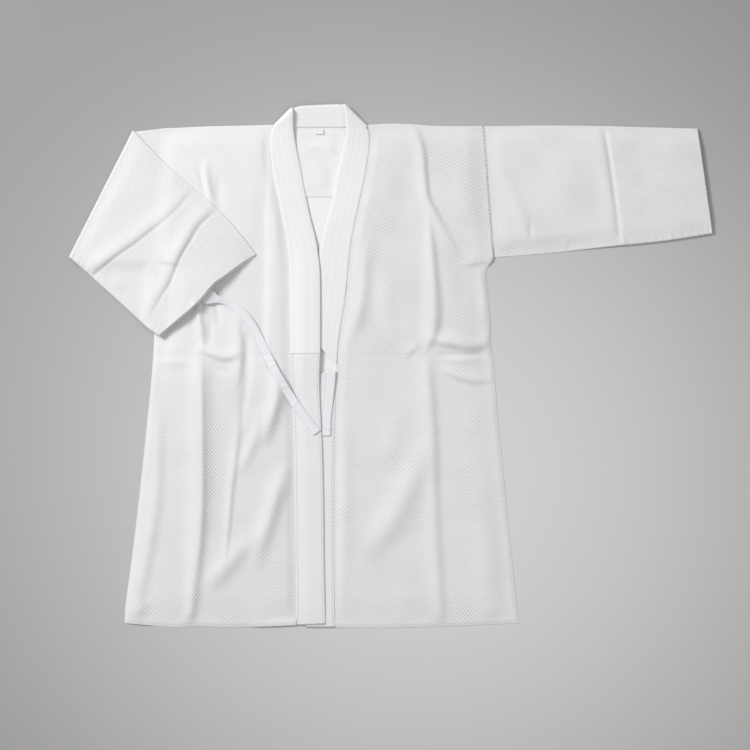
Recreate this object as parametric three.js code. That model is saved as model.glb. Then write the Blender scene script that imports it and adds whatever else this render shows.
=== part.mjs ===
// Kendo jacket of heavy white cotton, laid flat on its back with the fronts up, in millimetres.
// X runs from the wearer's right to the wearer's left, Y from the hem to the collar, Z up.
// The origin is on the surface below the centre back, level with the waist seam.
// The wearer's right sleeve is folded over its own front; the left sleeve lies straight out.
import * as THREE from "three";

// Cloth thicknesses and the gap left between pieces where they are sewn together.
const CLOTH = 1.6;
const LINING = 0.8;
const COLLAR_THICK = 4.5;
const BAND_THICK = 3.2;
const TIE_THICK = 1.2;
const LABEL_THICK = 0.5;
const GAP = 0.3;
const SEAM_GAP = 0.4;

// Heights that the layers rest at.
const BACK_TOP = CLOTH;
const YOKE_BOTTOM = BACK_TOP + GAP;
const FRONT_LOW = BACK_TOP + GAP;
const FRONT_OVER_YOKE = YOKE_BOTTOM + LINING + GAP;
const SHOULDER_RADIUS = (FRONT_OVER_YOKE + CLOTH) / 2;
const LAYER_AIR = 0.6;
const FRONT_PUFF = 1.6;

// Sizes of the cut.
const SHOULDER_Y = 386;
const NECK_Y = 383.2;
const WAIST_Y = 0;
const BACK_WAIST_Y = 14;
const UNDERARM = { high: 164, low: 138 };
const YOKE_LOW_Y = 267;
const YOKE_HALF = 150;
const LABEL = { width: 14, height: 9, x: -4, top: 382 };

// Outline of the body from the shoulder to the hem, on both sides: armhole, underarm curve, side seam.
const SIDE_ROWS = [
  { y: 392, right: 274.2, left: 274.2 },
  { y: 312, right: 280.3, left: 280.3 },
  { y: 240, right: 285.7, left: 285.7 },
  { y: 190, right: 289.5, left: 289.5 },
  { y: 171, right: 291, left: 291 },
  { y: 164, right: 291.4, left: 291.4 },
  { y: 158, right: 288.4, left: 288.4 },
  { y: 151, right: 284.6, left: 284.6 },
  { y: 143, right: 281, left: 281 },
  { y: 134, right: 279, left: 279 },
  { y: 122, right: 279.6, left: 279.8 },
  { y: 92, right: 282.6, left: 283.8 },
  { y: 58, right: 284.6, left: 286.4 },
  { y: 15, right: 285.8, left: 287.5 },
  { y: -40, right: 289.7, left: 293.6 },
  { y: -112, right: 296.9, left: 298.8 },
  { y: -180, right: 303.9, left: 306 },
  { y: -282, right: 315.3, left: 315.9 },
  { y: -350, right: 323.7, left: 323.2 },
  { y: -418, right: 333, left: 329.6 },
  { y: -440, right: 335, left: 332 },
  { y: -458, right: 335.6, left: 334 },
];

// How far the shoulder line is above its middle height along the shoulders.
const SHOULDER_ROWS = [
  { x: -275, rise: -3.1 },
  { x: -241, rise: -1.4 },
  { x: -207, rise: 0.3 },
  { x: -173, rise: 1.3 },
  { x: -139, rise: 2 },
  { x: -105, rise: 2.7 },
  { x: -84, rise: 3.2 },
  { x: -60, rise: 0 },
  { x: 60, rise: 0 },
  { x: 78, rise: 3.4 },
  { x: 92, rise: 4.2 },
  { x: 107, rise: 5.2 },
  { x: 126, rise: 5.6 },
  { x: 150, rise: 4.8 },
  { x: 184, rise: 2.2 },
  { x: 218, rise: 1.2 },
  { x: 275, rise: 1.4 },
];
const RISE_FROM_Y = 300;

// Where each front is sewn to the collar and, below the waist, to its front band.
const RIGHT_SEAM_ROWS = [
  { y: 392, x: -82.6 },
  { y: 372, x: -87.2 },
  { y: 347, x: -88.5 },
  { y: 321, x: -86 },
  { y: 296, x: -81 },
  { y: 262, x: -74 },
  { y: 228, x: -66.5 },
  { y: 194, x: -61 },
  { y: 160, x: -57 },
  { y: 92, x: -55.5 },
  { y: 0, x: -54.5 },
  { y: -112, x: -48.5 },
  { y: -248, x: -46 },
  { y: -460, x: -44 },
];
const LEFT_SEAM_ROWS = [
  { y: 392, x: 77.6 },
  { y: 364, x: 80.5 },
  { y: 347, x: 80 },
  { y: 313, x: 75 },
  { y: 262, x: 64.5 },
  { y: 236, x: 58.5 },
  { y: 189, x: 49.5 },
  { y: 150, x: 45 },
  { y: 105, x: 41 },
  { y: 54, x: 33 },
  { y: 3, x: 26.5 },
  { y: -53, x: 24 },
  { y: -146, x: 21.5 },
  { y: -282, x: 20.5 },
  { y: -466, x: 22 },
];

// The hem dips a little between the side seam and the front edge.
const HEM_ROWS = [
  { x: -336, y: -457.5 },
  { x: -300, y: -460.5 },
  { x: -258, y: -464.4 },
  { x: -240, y: -464.4 },
  { x: -222, y: -462.6 },
  { x: -200, y: -462.8 },
  { x: -160, y: -464.5 },
  { x: -100, y: -463 },
  { x: -54, y: -461 },
  { x: 6, y: -458 },
  { x: 22, y: -465 },
  { x: 180, y: -464 },
  { x: 335, y: -457.5 },
];

// Folds in the cloth: a soft ridge (height above 0) or trough (below 0) along a line that bows
// sideways by bow, fading out over fade at its ends. spread is the half width at 1/e of its height.
const RIGHT_FRONT_FOLDS = [
  { x1: -190, y1: 330, x2: -188, y2: 250, bow: 4, spread: 13, height: 3.2, fade: 50 },
  { x1: -214, y1: 320, x2: -193, y2: 262, bow: 5, spread: 9, height: -2.2, fade: 25 },
  { x1: -92, y1: 385, x2: -100, y2: 60, bow: 3, spread: 9, height: 2.6, fade: 60 },
  { x1: -110, y1: 370, x2: -108, y2: 40, bow: 0, spread: 12, height: -1.6, fade: 70 },
  { x1: -202, y1: 92, x2: -207, y2: 12, bow: 2, spread: 10, height: 5.5, fade: 30 },
  { x1: -184, y1: 92, x2: -174, y2: 56, bow: 0, spread: 8, height: -3.5, fade: 18 },
  { x1: -135, y1: 60, x2: -140, y2: -6, bow: 0, spread: 15, height: 4, fade: 30 },
  { x1: -205, y1: -2, x2: -128, y2: -10, bow: -3, spread: 8, height: -3.4, fade: 18 },
  { x1: -212, y1: 5, x2: -216, y2: -470, bow: -6, spread: 15, height: 6, fade: 45 },
  { x1: -190, y1: -20, x2: -188, y2: -470, bow: 5, spread: 14, height: -1.6, fade: 60 },
  { x1: -288, y1: -50, x2: -312, y2: -470, bow: 4, spread: 26, height: 4, fade: 90 },
  { x1: -124, y1: 0, x2: -136, y2: -130, bow: 0, spread: 16, height: 4.2, fade: 50 },
  { x1: -140, y1: -90, x2: -160, y2: -350, bow: 4, spread: 7, height: -2.6, fade: 60 },
  { x1: -158, y1: -110, x2: -178, y2: -420, bow: 0, spread: 14, height: 3.4, fade: 90 },
  { x1: -72, y1: -40, x2: -128, y2: -240, bow: 6, spread: 22, height: 4.6, fade: 60 },
  { x1: -70, y1: -190, x2: -140, y2: -400, bow: 4, spread: 22, height: 3.6, fade: 70 },
];
const LEFT_FRONT_FOLDS = [
  { x1: 172, y1: 380, x2: 196, y2: 60, bow: -6, spread: 13, height: 4.6, fade: 60 },
  { x1: 184, y1: 262, x2: 250, y2: 172, bow: 3, spread: 11, height: 3.2, fade: 40 },
  { x1: 88, y1: 215, x2: 70, y2: 20, bow: -10, spread: 17, height: 4.2, fade: 60 },
  { x1: 192, y1: 90, x2: 200, y2: 20, bow: 0, spread: 12, height: 3.8, fade: 30 },
  { x1: 150, y1: 4, x2: 186, y2: 14, bow: 0, spread: 8, height: -2.4, fade: 18 },
  { x1: 194, y1: 16, x2: 274, y2: 4, bow: 3, spread: 7, height: -3.6, fade: 18 },
  { x1: 198, y1: 32, x2: 276, y2: 22, bow: 3, spread: 10, height: 3.2, fade: 20 },
  { x1: 196, y1: -18, x2: 276, y2: -26, bow: 0, spread: 16, height: 3.2, fade: 25 },
  { x1: 196, y1: -50, x2: 276, y2: -56, bow: 0, spread: 8, height: -2.4, fade: 20 },
  { x1: 204, y1: -30, x2: 216, y2: -470, bow: 5, spread: 13, height: 4.4, fade: 60 },
  { x1: 164, y1: -190, x2: 70, y2: -370, bow: 8, spread: 26, height: 4.8, fade: 70 },
  { x1: 52, y1: -80, x2: 40, y2: -380, bow: 3, spread: 15, height: 2.8, fade: 80 },
  { x1: 268, y1: -180, x2: 280, y2: -470, bow: 0, spread: 24, height: 3, fade: 90 },
];
const LEFT_SLEEVE_FOLDS = [
  { x1: 482, y1: 392, x2: 507, y2: 178, bow: 2, spread: 11, height: 3.8, fade: 26 },
  { x1: 312, y1: 290, x2: 352, y2: 182, bow: 4, spread: 13, height: 2, fade: 40 },
  { x1: 400, y1: 380, x2: 420, y2: 200, bow: -5, spread: 22, height: 1.6, fade: 60 },
  { x1: 585, y1: 370, x2: 600, y2: 210, bow: 4, spread: 24, height: 1.6, fade: 50 },
];
const RIGHT_SLEEVE_FOLDS = [
  { x1: -206, y1: 276, x2: -396, y2: 124, bow: 6, spread: 13, height: 4.6, fade: 40 },
  { x1: -176, y1: 250, x2: -288, y2: 52, bow: -6, spread: 12, height: 5, fade: 40 },
  { x1: -300, y1: 340, x2: -400, y2: 210, bow: 0, spread: 26, height: 2.4, fade: 60 },
];

// Straight sections across the left sleeve from its top fold (top) to its underarm seam (low).
const LEFT_SLEEVE_ROWS = [
  { topX: 275, topY: 387, lowX: 291.9, lowY: 164 },
  { topX: 372, topY: 388.3, lowX: 388, lowY: 171.6 },
  { topX: 472, topY: 387.6, lowX: 488, lowY: 182.2 },
  { topX: 558, topY: 385.2, lowX: 580, lowY: 191.6 },
  { topX: 637.5, topY: 383, lowX: 663, lowY: 204.4 },
];

// The right sleeve's armhole, the line it is folded on, and its cuff where that comes to lie.
const RIGHT_ARMHOLE = { topX: -275, topY: 382.6, lowX: -291.9, lowY: 164 };
const RIGHT_FOLD = { topX: -318, topY: 377.6, lowX: -426.6, lowY: 162.5 };
const RIGHT_CUFF = { topX: -108.5, topY: 167.5, lowX: -273, lowY: 29 };
const CUFF_AIR = 2.4;
// How far the folded part's edges bow outwards along it, and how high its cuff stands across it.
const RIGHT_BOW_ROWS = [
  { at: 0, top: 0, low: 0 },
  { at: 0.25, top: -1, low: 0.6 },
  { at: 0.43, top: 2.4, low: 1.2 },
  { at: 0.6, top: 7, low: 1.8 },
  { at: 0.72, top: 7.5, low: 2.4 },
  { at: 0.88, top: 4.5, low: 2.8 },
  { at: 1, top: 0, low: 0 },
];
const CUFF_LIFT_ROWS = [
  { across: 0, lift: 3 },
  { across: 0.12, lift: 9 },
  { across: 0.26, lift: 13 },
  { across: 0.4, lift: 13 },
  { across: 0.55, lift: 10.5 },
  { across: 0.75, lift: 9 },
  { across: 1, lift: 7 },
];
// How far the cuff's edge is drawn back into the sleeve, and how much further in its upper layer.
const CUFF_DIP_ROWS = [
  { across: 0, pull: 1 },
  { across: 0.07, pull: 3.8 },
  { across: 0.15, pull: 5.6 },
  { across: 0.22, pull: 6.6 },
  { across: 0.3, pull: 7.6 },
  { across: 0.37, pull: 9.2 },
  { across: 0.43, pull: 8 },
  { across: 0.51, pull: 4.6 },
  { across: 0.61, pull: 1.6 },
  { across: 0.75, pull: 1.2 },
  { across: 0.9, pull: 1.6 },
  { across: 1, pull: 1.2 },
];
const CUFF_STEP = 2.6;
const DROP_REACH = 26;

// Stations along the collar on each front: the free edge, the seam's Y, and how far the middle of
// the cloth is lifted above its lowest place at the free edge and at the seam.
const RIGHT_COLLAR_ROWS = [
  { x: -2.6, y: 1, seamY: 0.6, freeLift: 5, seamLift: 0 },
  { x: -2.6, y: 48, seamY: 47, freeLift: 5, seamLift: 0 },
  { x: -2.6, y: 96, seamY: 94, freeLift: 5, seamLift: 0 },
  { x: -3.4, y: 143, seamY: 139, freeLift: 5, seamLift: 0 },
  { x: -6, y: 168, seamY: 162, freeLift: 5, seamLift: 0 },
  { x: -10.2, y: 194, seamY: 186, freeLift: 4.9, seamLift: 0 },
  { x: -18.7, y: 228, seamY: 216, freeLift: 3, seamLift: 0 },
  { x: -27.2, y: 267, seamY: 256, freeLift: 1, seamLift: 0 },
  { x: -37.4, y: 321, seamY: 312, freeLift: 1.6, seamLift: 0 },
  { x: -44.2, y: 355, seamY: 349, freeLift: 7, seamLift: 0.2 },
  { x: -48.4, y: 384, seamY: 374, freeLift: 17, seamLift: 0.8 },
];
const LEFT_COLLAR_ROWS = [
  { x: 40, y: 398, seamY: 377, freeLift: 15, seamLift: 0.8 },
  { x: 41, y: 379, seamY: 363, freeLift: 9, seamLift: 0.3 },
  { x: 37.5, y: 358, seamY: 345, freeLift: 4, seamLift: 0 },
  { x: 28.5, y: 321, seamY: 310, freeLift: 1.2, seamLift: 0 },
  { x: 21.8, y: 290, seamY: 280, freeLift: 0.4, seamLift: 0 },
  { x: 15.4, y: 256, seamY: 246, freeLift: 0, seamLift: 0 },
  { x: 5.5, y: 219, seamY: 208, freeLift: 0, seamLift: 0 },
  { x: -4, y: 182, seamY: 173, freeLift: 0, seamLift: 0 },
  { x: -8.6, y: 140, seamY: 134, freeLift: 0, seamLift: 0 },
  { x: -13, y: 96, seamY: 90, freeLift: 0, seamLift: 0 },
  { x: -15.4, y: 76, seamY: 66, freeLift: 0, seamLift: 0 },
  { x: -17.5, y: 58, seamY: 42, freeLift: 0, seamLift: 0 },
  { x: -19.4, y: 45, seamY: 18, freeLift: 0.2, seamLift: 0 },
  { x: -21.5, y: 30, seamY: -18, freeLift: 0.4, seamLift: 0 },
];
// The stretch that stands round the back of the neck, inner face up.
const NECK_COLLAR_ROWS = [
  { x: -32, y: 419.5, seamX: -52, seamY: 384.7, freeZ: 18.5, seamZ: 2.5 },
  { x: -6, y: 422, seamX: -8, seamY: 384.3, freeZ: 19, seamZ: 2.5 },
  { x: 20, y: 423, seamX: 38, seamY: 384.7, freeZ: 18, seamZ: 2.5 },
];
// The two folds beside the neck, from the seam edge to the free edge, and the way they bulge.
const NECK_FOLDS = {
  right: { seamX: -77.1, seamY: 387.7, freeX: -48.3, freeY: 413.4, outX: -0.72, outY: 0.69 },
  left: { seamX: 72.6, seamY: 386, freeX: 36.4, freeY: 419, outX: 0.71, outY: 0.7 },
};
const NECK_FOLD_SIZES = { seamRadius: 2.6, freeRadius: 5.6, seamAxisZ: 5.1, freeAxisZ: 23.4 };

// Quilting of the collar: channels of stuffing between rows of stitching, on both faces.
const CHANNELS = 5;
const CHANNEL_DEPTH = 0.8;

// Front bands below the waist: the free edge beside the seam rows above.
const RIGHT_BAND_ROWS = [
  { y: 0, x: -3 },
  { y: -44, x: -4.3 },
  { y: -95, x: -2.6 },
  { y: -146, x: 0 },
  { y: -248, x: 2.6 },
  { y: -350, x: 3.6 },
  { y: -458, x: 6 },
];
const LEFT_BAND_WIDTH = 50;
const LEFT_BAND_TOP = -32;
const LEFT_BAND_LOW = -466;
const BAND_LAP_LIFT = 3.6;

// The ties: a point on the centre line, its height over what it lies on, the tape's roll in
// degrees and its width, which is gathered or spread where the tape turns over.
const RIGHT_TIE_ROWS = [
  { x: -279, y: 111, lift: 1.1, roll: 0, width: 14 },
  { x: -250, y: 114, lift: 1.2, roll: 0, width: 14 },
  { x: -222, y: 115, lift: 1.6, roll: 0, width: 20 },
  { x: -203, y: 107, lift: 2.6, roll: 0, width: 28 },
  { x: -190, y: 96, lift: 3.6, roll: 6, width: 26 },
  { x: -177, y: 92.5, lift: 4.2, roll: 24, width: 13 },
  { x: -163, y: 88.5, lift: 4.8, roll: 40, width: 12 },
  { x: -150, y: 81, lift: 6, roll: 44, width: 13 },
  { x: -137, y: 71, lift: 6, roll: 40, width: 14 },
  { x: -121, y: 53, lift: 3.6, roll: 22, width: 14 },
  { x: -107, y: 28, lift: 2.2, roll: 10, width: 14 },
  { x: -93, y: -1, lift: 1.4, roll: 0, width: 14 },
  { x: -75, y: -36, lift: 1.2, roll: 0, width: 14 },
  { x: -55, y: -69, lift: 1.2, roll: 0, width: 14 },
  { x: -33, y: -102, lift: 1.6, roll: 0, width: 14 },
  { x: -8, y: -134, lift: 1.2, roll: 0, width: 14 },
];
const LEFT_TIE_ROWS = [
  { x: 17, y: -27, lift: 3.6, roll: 0, width: 14 },
  { x: 15, y: -51, lift: 2.6, roll: 0, width: 14 },
  { x: 11.9, y: -81, lift: 1.3, roll: 0, width: 14 },
  { x: 8.4, y: -113, lift: 1.1, roll: 0, width: 14 },
  { x: 7.6, y: -139, lift: 1.1, roll: 0, width: 14 },
];

const FINISHES = {
  sashiko: { color: 0xf1f1f0, roughness: 0.9, metalness: 0 },
  skirt: { color: 0xefeff0, roughness: 0.9, metalness: 0 },
  collar: { color: 0xf3f2ef, roughness: 0.88, metalness: 0 },
  lining: { color: 0xededec, roughness: 0.85, metalness: 0 },
  tape: { color: 0xf2f2f4, roughness: 0.82, metalness: 0 },
};

const { clamp, lerp, smoothstep } = THREE.MathUtils;

// A smooth function through a table's rows, sorted by the key column: cubic pieces whose slope at
// each row is that of the line between its neighbours.
function curve(rows, key, column) {
  const sorted = [...rows].sort((a, b) => a[key] - b[key]);
  const slope = sorted.map((row, i) => {
    const before = sorted[Math.max(i - 1, 0)];
    const after = sorted[Math.min(i + 1, sorted.length - 1)];
    return (after[column] - before[column]) / (after[key] - before[key]);
  });
  return (at) => {
    let i = 0;
    while (i < sorted.length - 2 && at > sorted[i + 1][key]) i += 1;
    const a = sorted[i];
    const b = sorted[i + 1];
    const span = b[key] - a[key];
    const t = clamp((at - a[key]) / span, 0, 1);
    const rest = 1 - t;
    return (
      a[column] * (1 + 2 * t) * rest * rest +
      slope[i] * span * t * rest * rest +
      b[column] * (3 - 2 * t) * t * t -
      slope[i + 1] * span * rest * t * t
    );
  };
}

const rightSideX = curve(SIDE_ROWS, "y", "right");
const leftSideX = curve(SIDE_ROWS, "y", "left");
const sideX = (side, y) => (side < 0 ? -rightSideX(y) : leftSideX(y));
const shoulderRise = curve(SHOULDER_ROWS, "x", "rise");
const risen = (x, y) => y + shoulderRise(x) * smoothstep(y, RISE_FROM_Y, NECK_Y);
const rightSeamX = curve(RIGHT_SEAM_ROWS, "y", "x");
const leftSeamX = curve(LEFT_SEAM_ROWS, "y", "x");
const hemY = curve(HEM_ROWS, "x", "y");
const rightBandX = curve(RIGHT_BAND_ROWS, "y", "x");

// Height that the folds of a table add at a place.
function relief(folds, x, y) {
  let sum = 0;
  for (const fold of folds) {
    const alongX = fold.x2 - fold.x1;
    const alongY = fold.y2 - fold.y1;
    const length = Math.hypot(alongX, alongY);
    const along = ((x - fold.x1) * alongX + (y - fold.y1) * alongY) / length;
    const t = clamp(along / length, 0, 1);
    const bow = 4 * fold.bow * t * (1 - t);
    const across = ((x - fold.x1) * alongY - (y - fold.y1) * alongX) / length - bow;
    const past = Math.max(-along, along - length, 0);
    const ends = smoothstep(along, 0, fold.fade) * smoothstep(length - along, 0, fold.fade);
    if (past === 0) sum += fold.height * ends * Math.exp(-((across / fold.spread) ** 2));
  }
  return sum;
}

// Underside of a front panel: low along the side seam, shoulder and collar seam, puffed between.
const EDGE_FADE = 34;
function frontUnderside(side, x, y) {
  const seamX = side < 0 ? rightSeamX(y) : leftSeamX(y);
  const folds = side < 0 ? RIGHT_FRONT_FOLDS : LEFT_FRONT_FOLDS;
  const fromSide = smoothstep(Math.abs(sideX(side, y)) - Math.abs(x), 0, EDGE_FADE);
  const fromShoulder = smoothstep(SHOULDER_Y - y, 0, EDGE_FADE);
  const fromSeam = smoothstep(Math.abs(x - seamX), 0, EDGE_FADE / 2);
  const overYoke = lerp(FRONT_LOW, FRONT_OVER_YOKE, smoothstep(y, -60, 60));
  const base = lerp(FRONT_LOW + 0.1, overYoke, fromSide);
  const inside = fromSide * fromShoulder * fromSeam;
  return Math.max(base, base + inside * (FRONT_PUFF + relief(folds, x, y)));
}
const frontTop = (side, x, y) => frontUnderside(side, x, y) + CLOTH;

// A closed wall from two grids of points, outer and inner. With round true the columns close on
// themselves, as in a tube, and only the first and last rows get a rim.
function wall(outer, inner, round = false) {
  const rows = outer.length;
  const columns = outer[0].length;
  const points = [...outer.flat(), ...inner.flat()];
  const at = (layer, row, column) => layer * rows * columns + row * columns + (column % columns);
  const triangles = [];
  const quad = (a, b, c, d) => triangles.push(a, b, c, a, c, d);
  const lastColumn = round ? columns : columns - 1;
  for (let i = 0; i < rows - 1; i += 1) {
    for (let j = 0; j < lastColumn; j += 1) {
      quad(at(0, i, j), at(0, i, j + 1), at(0, i + 1, j + 1), at(0, i + 1, j));
      quad(at(1, i, j), at(1, i + 1, j), at(1, i + 1, j + 1), at(1, i, j + 1));
    }
  }
  for (let j = 0; j < lastColumn; j += 1) {
    quad(at(0, 0, j), at(1, 0, j), at(1, 0, j + 1), at(0, 0, j + 1));
    const end = rows - 1;
    quad(at(0, end, j), at(0, end, j + 1), at(1, end, j + 1), at(1, end, j));
  }
  for (let i = 0; i < rows - 1 && !round; i += 1) {
    const end = columns - 1;
    quad(at(0, i, 0), at(0, i + 1, 0), at(1, i + 1, 0), at(1, i, 0));
    quad(at(0, i, end), at(1, i, end), at(1, i + 1, end), at(0, i + 1, end));
  }
  return closed(points, triangles);
}

// A closed band: one loop of points at each station, with a flat cap at both ends.
function loft(loops) {
  const size = loops[0].length;
  const points = loops.flat();
  const triangles = [];
  for (let i = 0; i < loops.length - 1; i += 1) {
    for (let j = 0; j < size; j += 1) {
      const next = (j + 1) % size;
      const [a, b] = [i * size + j, i * size + next];
      triangles.push(a, b, b + size, a, b + size, a + size);
    }
  }
  const half = size / 2;
  const last = (loops.length - 1) * size;
  for (let j = 0; j < half - 1; j += 1) {
    const [a, b, c, d] = [j, j + 1, size - 2 - j, size - 1 - j];
    triangles.push(a, c, b, a, d, c);
    triangles.push(last + a, last + b, last + c, last + a, last + c, last + d);
  }
  return closed(points, triangles);
}

// Geometry of a closed surface, turned if needed so that its faces point outwards.
function closed(points, triangles) {
  const volume = triangles.reduce((sum, _, i) => {
    if (i % 3) return sum;
    const [a, b, c] = [0, 1, 2].map((k) => points[triangles[i + k]]);
    return sum + a.dot(new THREE.Vector3().crossVectors(b, c)) / 6;
  }, 0);
  const index = volume < 0 ? triangles.toReversed() : triangles;
  const geometry = new THREE.BufferGeometry().setFromPoints(points).setIndex(index);
  geometry.computeVertexNormals();
  return geometry;
}

const jacket = new THREE.Group();
function piece(name, finish, geometry) {
  const mesh = new THREE.Mesh(geometry, new THREE.MeshStandardMaterial(FINISHES[finish]));
  mesh.name = name;
  jacket.add(mesh);
}

// Evenly spaced shares from 0 to 1.
const shares = (steps) => Array.from({ length: steps + 1 }, (_, i) => i / steps);

// The levels of an upper panel's rows, closer together round the underarm.
const ABOVE_UNDERARM = 11;
const AT_UNDERARM = 4;
const BELOW_UNDERARM = 7;
function upperLevels(top, low) {
  const spread = (from, to, steps) => shares(steps).map((t) => lerp(from, to, t));
  return [
    ...spread(top, UNDERARM.high, ABOVE_UNDERARM),
    ...spread(UNDERARM.high, UNDERARM.low, AT_UNDERARM).slice(1),
    ...spread(UNDERARM.low, low, BELOW_UNDERARM).slice(1),
  ];
}

// A flat panel: one row for each of the given levels, from its right to its left end.
function panel(levels, columns, edge, underside, thickness) {
  const outer = [];
  const inner = [];
  for (const v of levels) {
    const { x1, y1, x2, y2 } = edge(v);
    const spots = shares(columns).map((u) => {
      const x = lerp(x1, x2, u);
      return [x, risen(x, lerp(y1, y2, u))];
    });
    inner.push(spots.map(([x, y]) => new THREE.Vector3(x, y, underside(x, y))));
    outer.push(spots.map(([x, y]) => new THREE.Vector3(x, y, underside(x, y) + thickness)));
  }
  return { outer, inner };
}

// A front above the waist. Its cloth rolls over the shoulder and ends level with the back panel.
const FRONT_COLUMNS = 14;
const ROLL_STEPS = 5;
function upperFront(side) {
  const seamX = side < 0 ? rightSeamX : leftSeamX;
  const axisY = SHOULDER_Y - SHOULDER_RADIUS;
  const edge = (y) => {
    const x1 = sideX(side, y);
    const x2 = seamX(risen(seamX(y), y)) + side * SEAM_GAP;
    return { x1, y1: y, x2, y2: y };
  };
  const { outer, inner } = panel(
    upperLevels(axisY, WAIST_Y + SEAM_GAP),
    FRONT_COLUMNS,
    edge,
    (x, y) => frontUnderside(side, x, y),
    CLOTH,
  );
  const onAxis = inner[0].map((p) => new THREE.Vector3(p.x, p.y, SHOULDER_RADIUS));
  for (const t of shares(ROLL_STEPS).slice(1)) {
    const turn = t * Math.PI;
    const spot = (radius) => (p) =>
      p.clone().add(new THREE.Vector3(0, radius * Math.sin(turn), radius * Math.cos(turn)));
    inner.unshift(onAxis.map(spot(SHOULDER_RADIUS - CLOTH)));
    outer.unshift(onAxis.map(spot(SHOULDER_RADIUS)));
  }
  return wall(outer, inner);
}

// A front below the waist, from the side seam to its front band.
const SKIRT_COLUMNS = 14;
const SKIRT_ROWS = 15;
function frontSkirt(side) {
  const seamX = side < 0 ? rightSeamX : leftSeamX;
  const edge = (v) => {
    const high = WAIST_Y - SEAM_GAP;
    const y1 = lerp(high, hemY(sideX(side, -457)), v);
    const y2 = lerp(high, hemY(seamX(-460)), v);
    return { x1: sideX(side, y1), y1, x2: seamX(y2) + side * SEAM_GAP, y2 };
  };
  const { outer, inner } = panel(
    shares(SKIRT_ROWS),
    SKIRT_COLUMNS,
    edge,
    (x, y) => frontUnderside(side, x, y),
    CLOTH,
  );
  return wall(outer, inner);
}

// The back lies flat on the surface. Its waist seam is a little higher than that of the fronts.
const BACK_UPPER_COLUMNS = 22;
const BACK_SKIRT_COLUMNS = 6;
const BACK_SKIRT_ROWS = 8;
function back(levels, columns) {
  const edge = (y) => ({ x1: sideX(-1, y), y1: y, x2: sideX(1, y), y2: y });
  const { outer, inner } = panel(levels, columns, edge, () => 0, CLOTH);
  return wall(outer, inner);
}

// Lining sewn inside the shoulders, its lower edge showing in the neck opening.
function yoke() {
  const edge = (v) => {
    const y = lerp(NECK_Y - 1, YOKE_LOW_Y, v);
    return { x1: -YOKE_HALF, y1: y, x2: YOKE_HALF, y2: y };
  };
  const { outer, inner } = panel(shares(3), 8, edge, () => YOKE_BOTTOM, LINING);
  return wall(outer, inner);
}

// Places across a flattened tube of a given width: how far each point of the outer and of the
// inner skin is from the top fold. The first and last are on the rounded edges.
const TUBE_STEPS = 9;
const EDGE_ROUND = 2.4;
function tubePlaces(width) {
  const between = shares(TUBE_STEPS)
    .slice(1, -1)
    .map((u) => u * width);
  return {
    outer: [0, EDGE_ROUND, ...between, width - EDGE_ROUND, width],
    inner: [CLOTH, 2 * CLOTH, ...between, width - 2 * CLOTH, width - CLOTH],
  };
}

// One ring of a sleeve: round the front layer from the top fold to the underarm, then back along
// the back layer. spot(distance, layer, depth) places a point on the skin at a share of its depth:
// layer is "front", "edge" or "back", and depth is 0 on the outer skin and 1 on the inner skin.
function sleeveRing(section, spot) {
  const width = Math.hypot(section.lowX - section.topX, section.lowY - section.topY);
  const places = tubePlaces(width);
  const around = (skin, depth) => {
    const last = skin.length - 1;
    const front = skin.map((d, i) => spot(d / width, i % last ? "front" : "edge", depth));
    const back = skin.slice(1, -1).map((d) => spot(d / width, "back", depth));
    return [...front, ...back.reverse()];
  };
  return { outer: around(places.outer, 0), inner: around(places.inner, 1) };
}

const across = (section, u) => [
  lerp(section.topX, section.lowX, u),
  lerp(section.topY, section.lowY, u),
];

// Heights of the skins of a sleeve that lies flat on the surface, with folds in its front layer.
function flatSleeveHeight(folds, x, y, layer, depth, air) {
  const frontOuter = 2 * CLOTH + air + Math.max(relief(folds, x, y), 0);
  if (layer === "front") return frontOuter - depth * CLOTH;
  if (layer === "back") return depth * CLOTH;
  return (2 * CLOTH + air) / 2;
}

const LEFT_SLEEVE_STEPS = 13;
function leftSleeve() {
  const columns = Object.keys(LEFT_SLEEVE_ROWS[0]);
  const rows = LEFT_SLEEVE_ROWS.map((row, i) => ({ ...row, at: i / (LEFT_SLEEVE_ROWS.length - 1) }));
  const edges = columns.map((column) => [column, curve(rows, "at", column)]);
  const rings = shares(LEFT_SLEEVE_STEPS).map((v) => {
    const section = Object.fromEntries(edges.map(([column, edge]) => [column, edge(v)]));
    const air = lerp(LAYER_AIR, CUFF_AIR, v);
    return sleeveRing(section, (u, layer, depth) => {
      const [x, y] = across(section, u);
      const z = flatSleeveHeight(LEFT_SLEEVE_FOLDS, x, y, layer, depth, air);
      return new THREE.Vector3(x, y, z);
    });
  });
  return wall(
    rings.map((ring) => ring.outer),
    rings.map((ring) => ring.inner),
    true,
  );
}

// Height of what the folded part of the right sleeve lies on: its own root, the right front, or
// the bare surface, which it sinks to within DROP_REACH of the garment's edge.
const ROOT_TOP = 2 * CLOTH + LAYER_AIR;
function under(x, y) {
  const bodyX = sideX(-1, y);
  const onBody = frontTop(-1, Math.max(x, bodyX), y);
  const rootLowY = lerp(
    RIGHT_ARMHOLE.lowY,
    RIGHT_FOLD.lowY,
    clamp((x - RIGHT_ARMHOLE.lowX) / (RIGHT_FOLD.lowX - RIGHT_ARMHOLE.lowX), 0, 1),
  );
  const outside = Math.max(Math.min(bodyX - x, rootLowY - y), 0);
  const inBody = smoothstep(x, bodyX - 12, bodyX + 4);
  const resting = Math.max(lerp(ROOT_TOP, onBody, inBody), ROOT_TOP);
  return resting * (1 - smoothstep(outside, 2, DROP_REACH));
}

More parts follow.
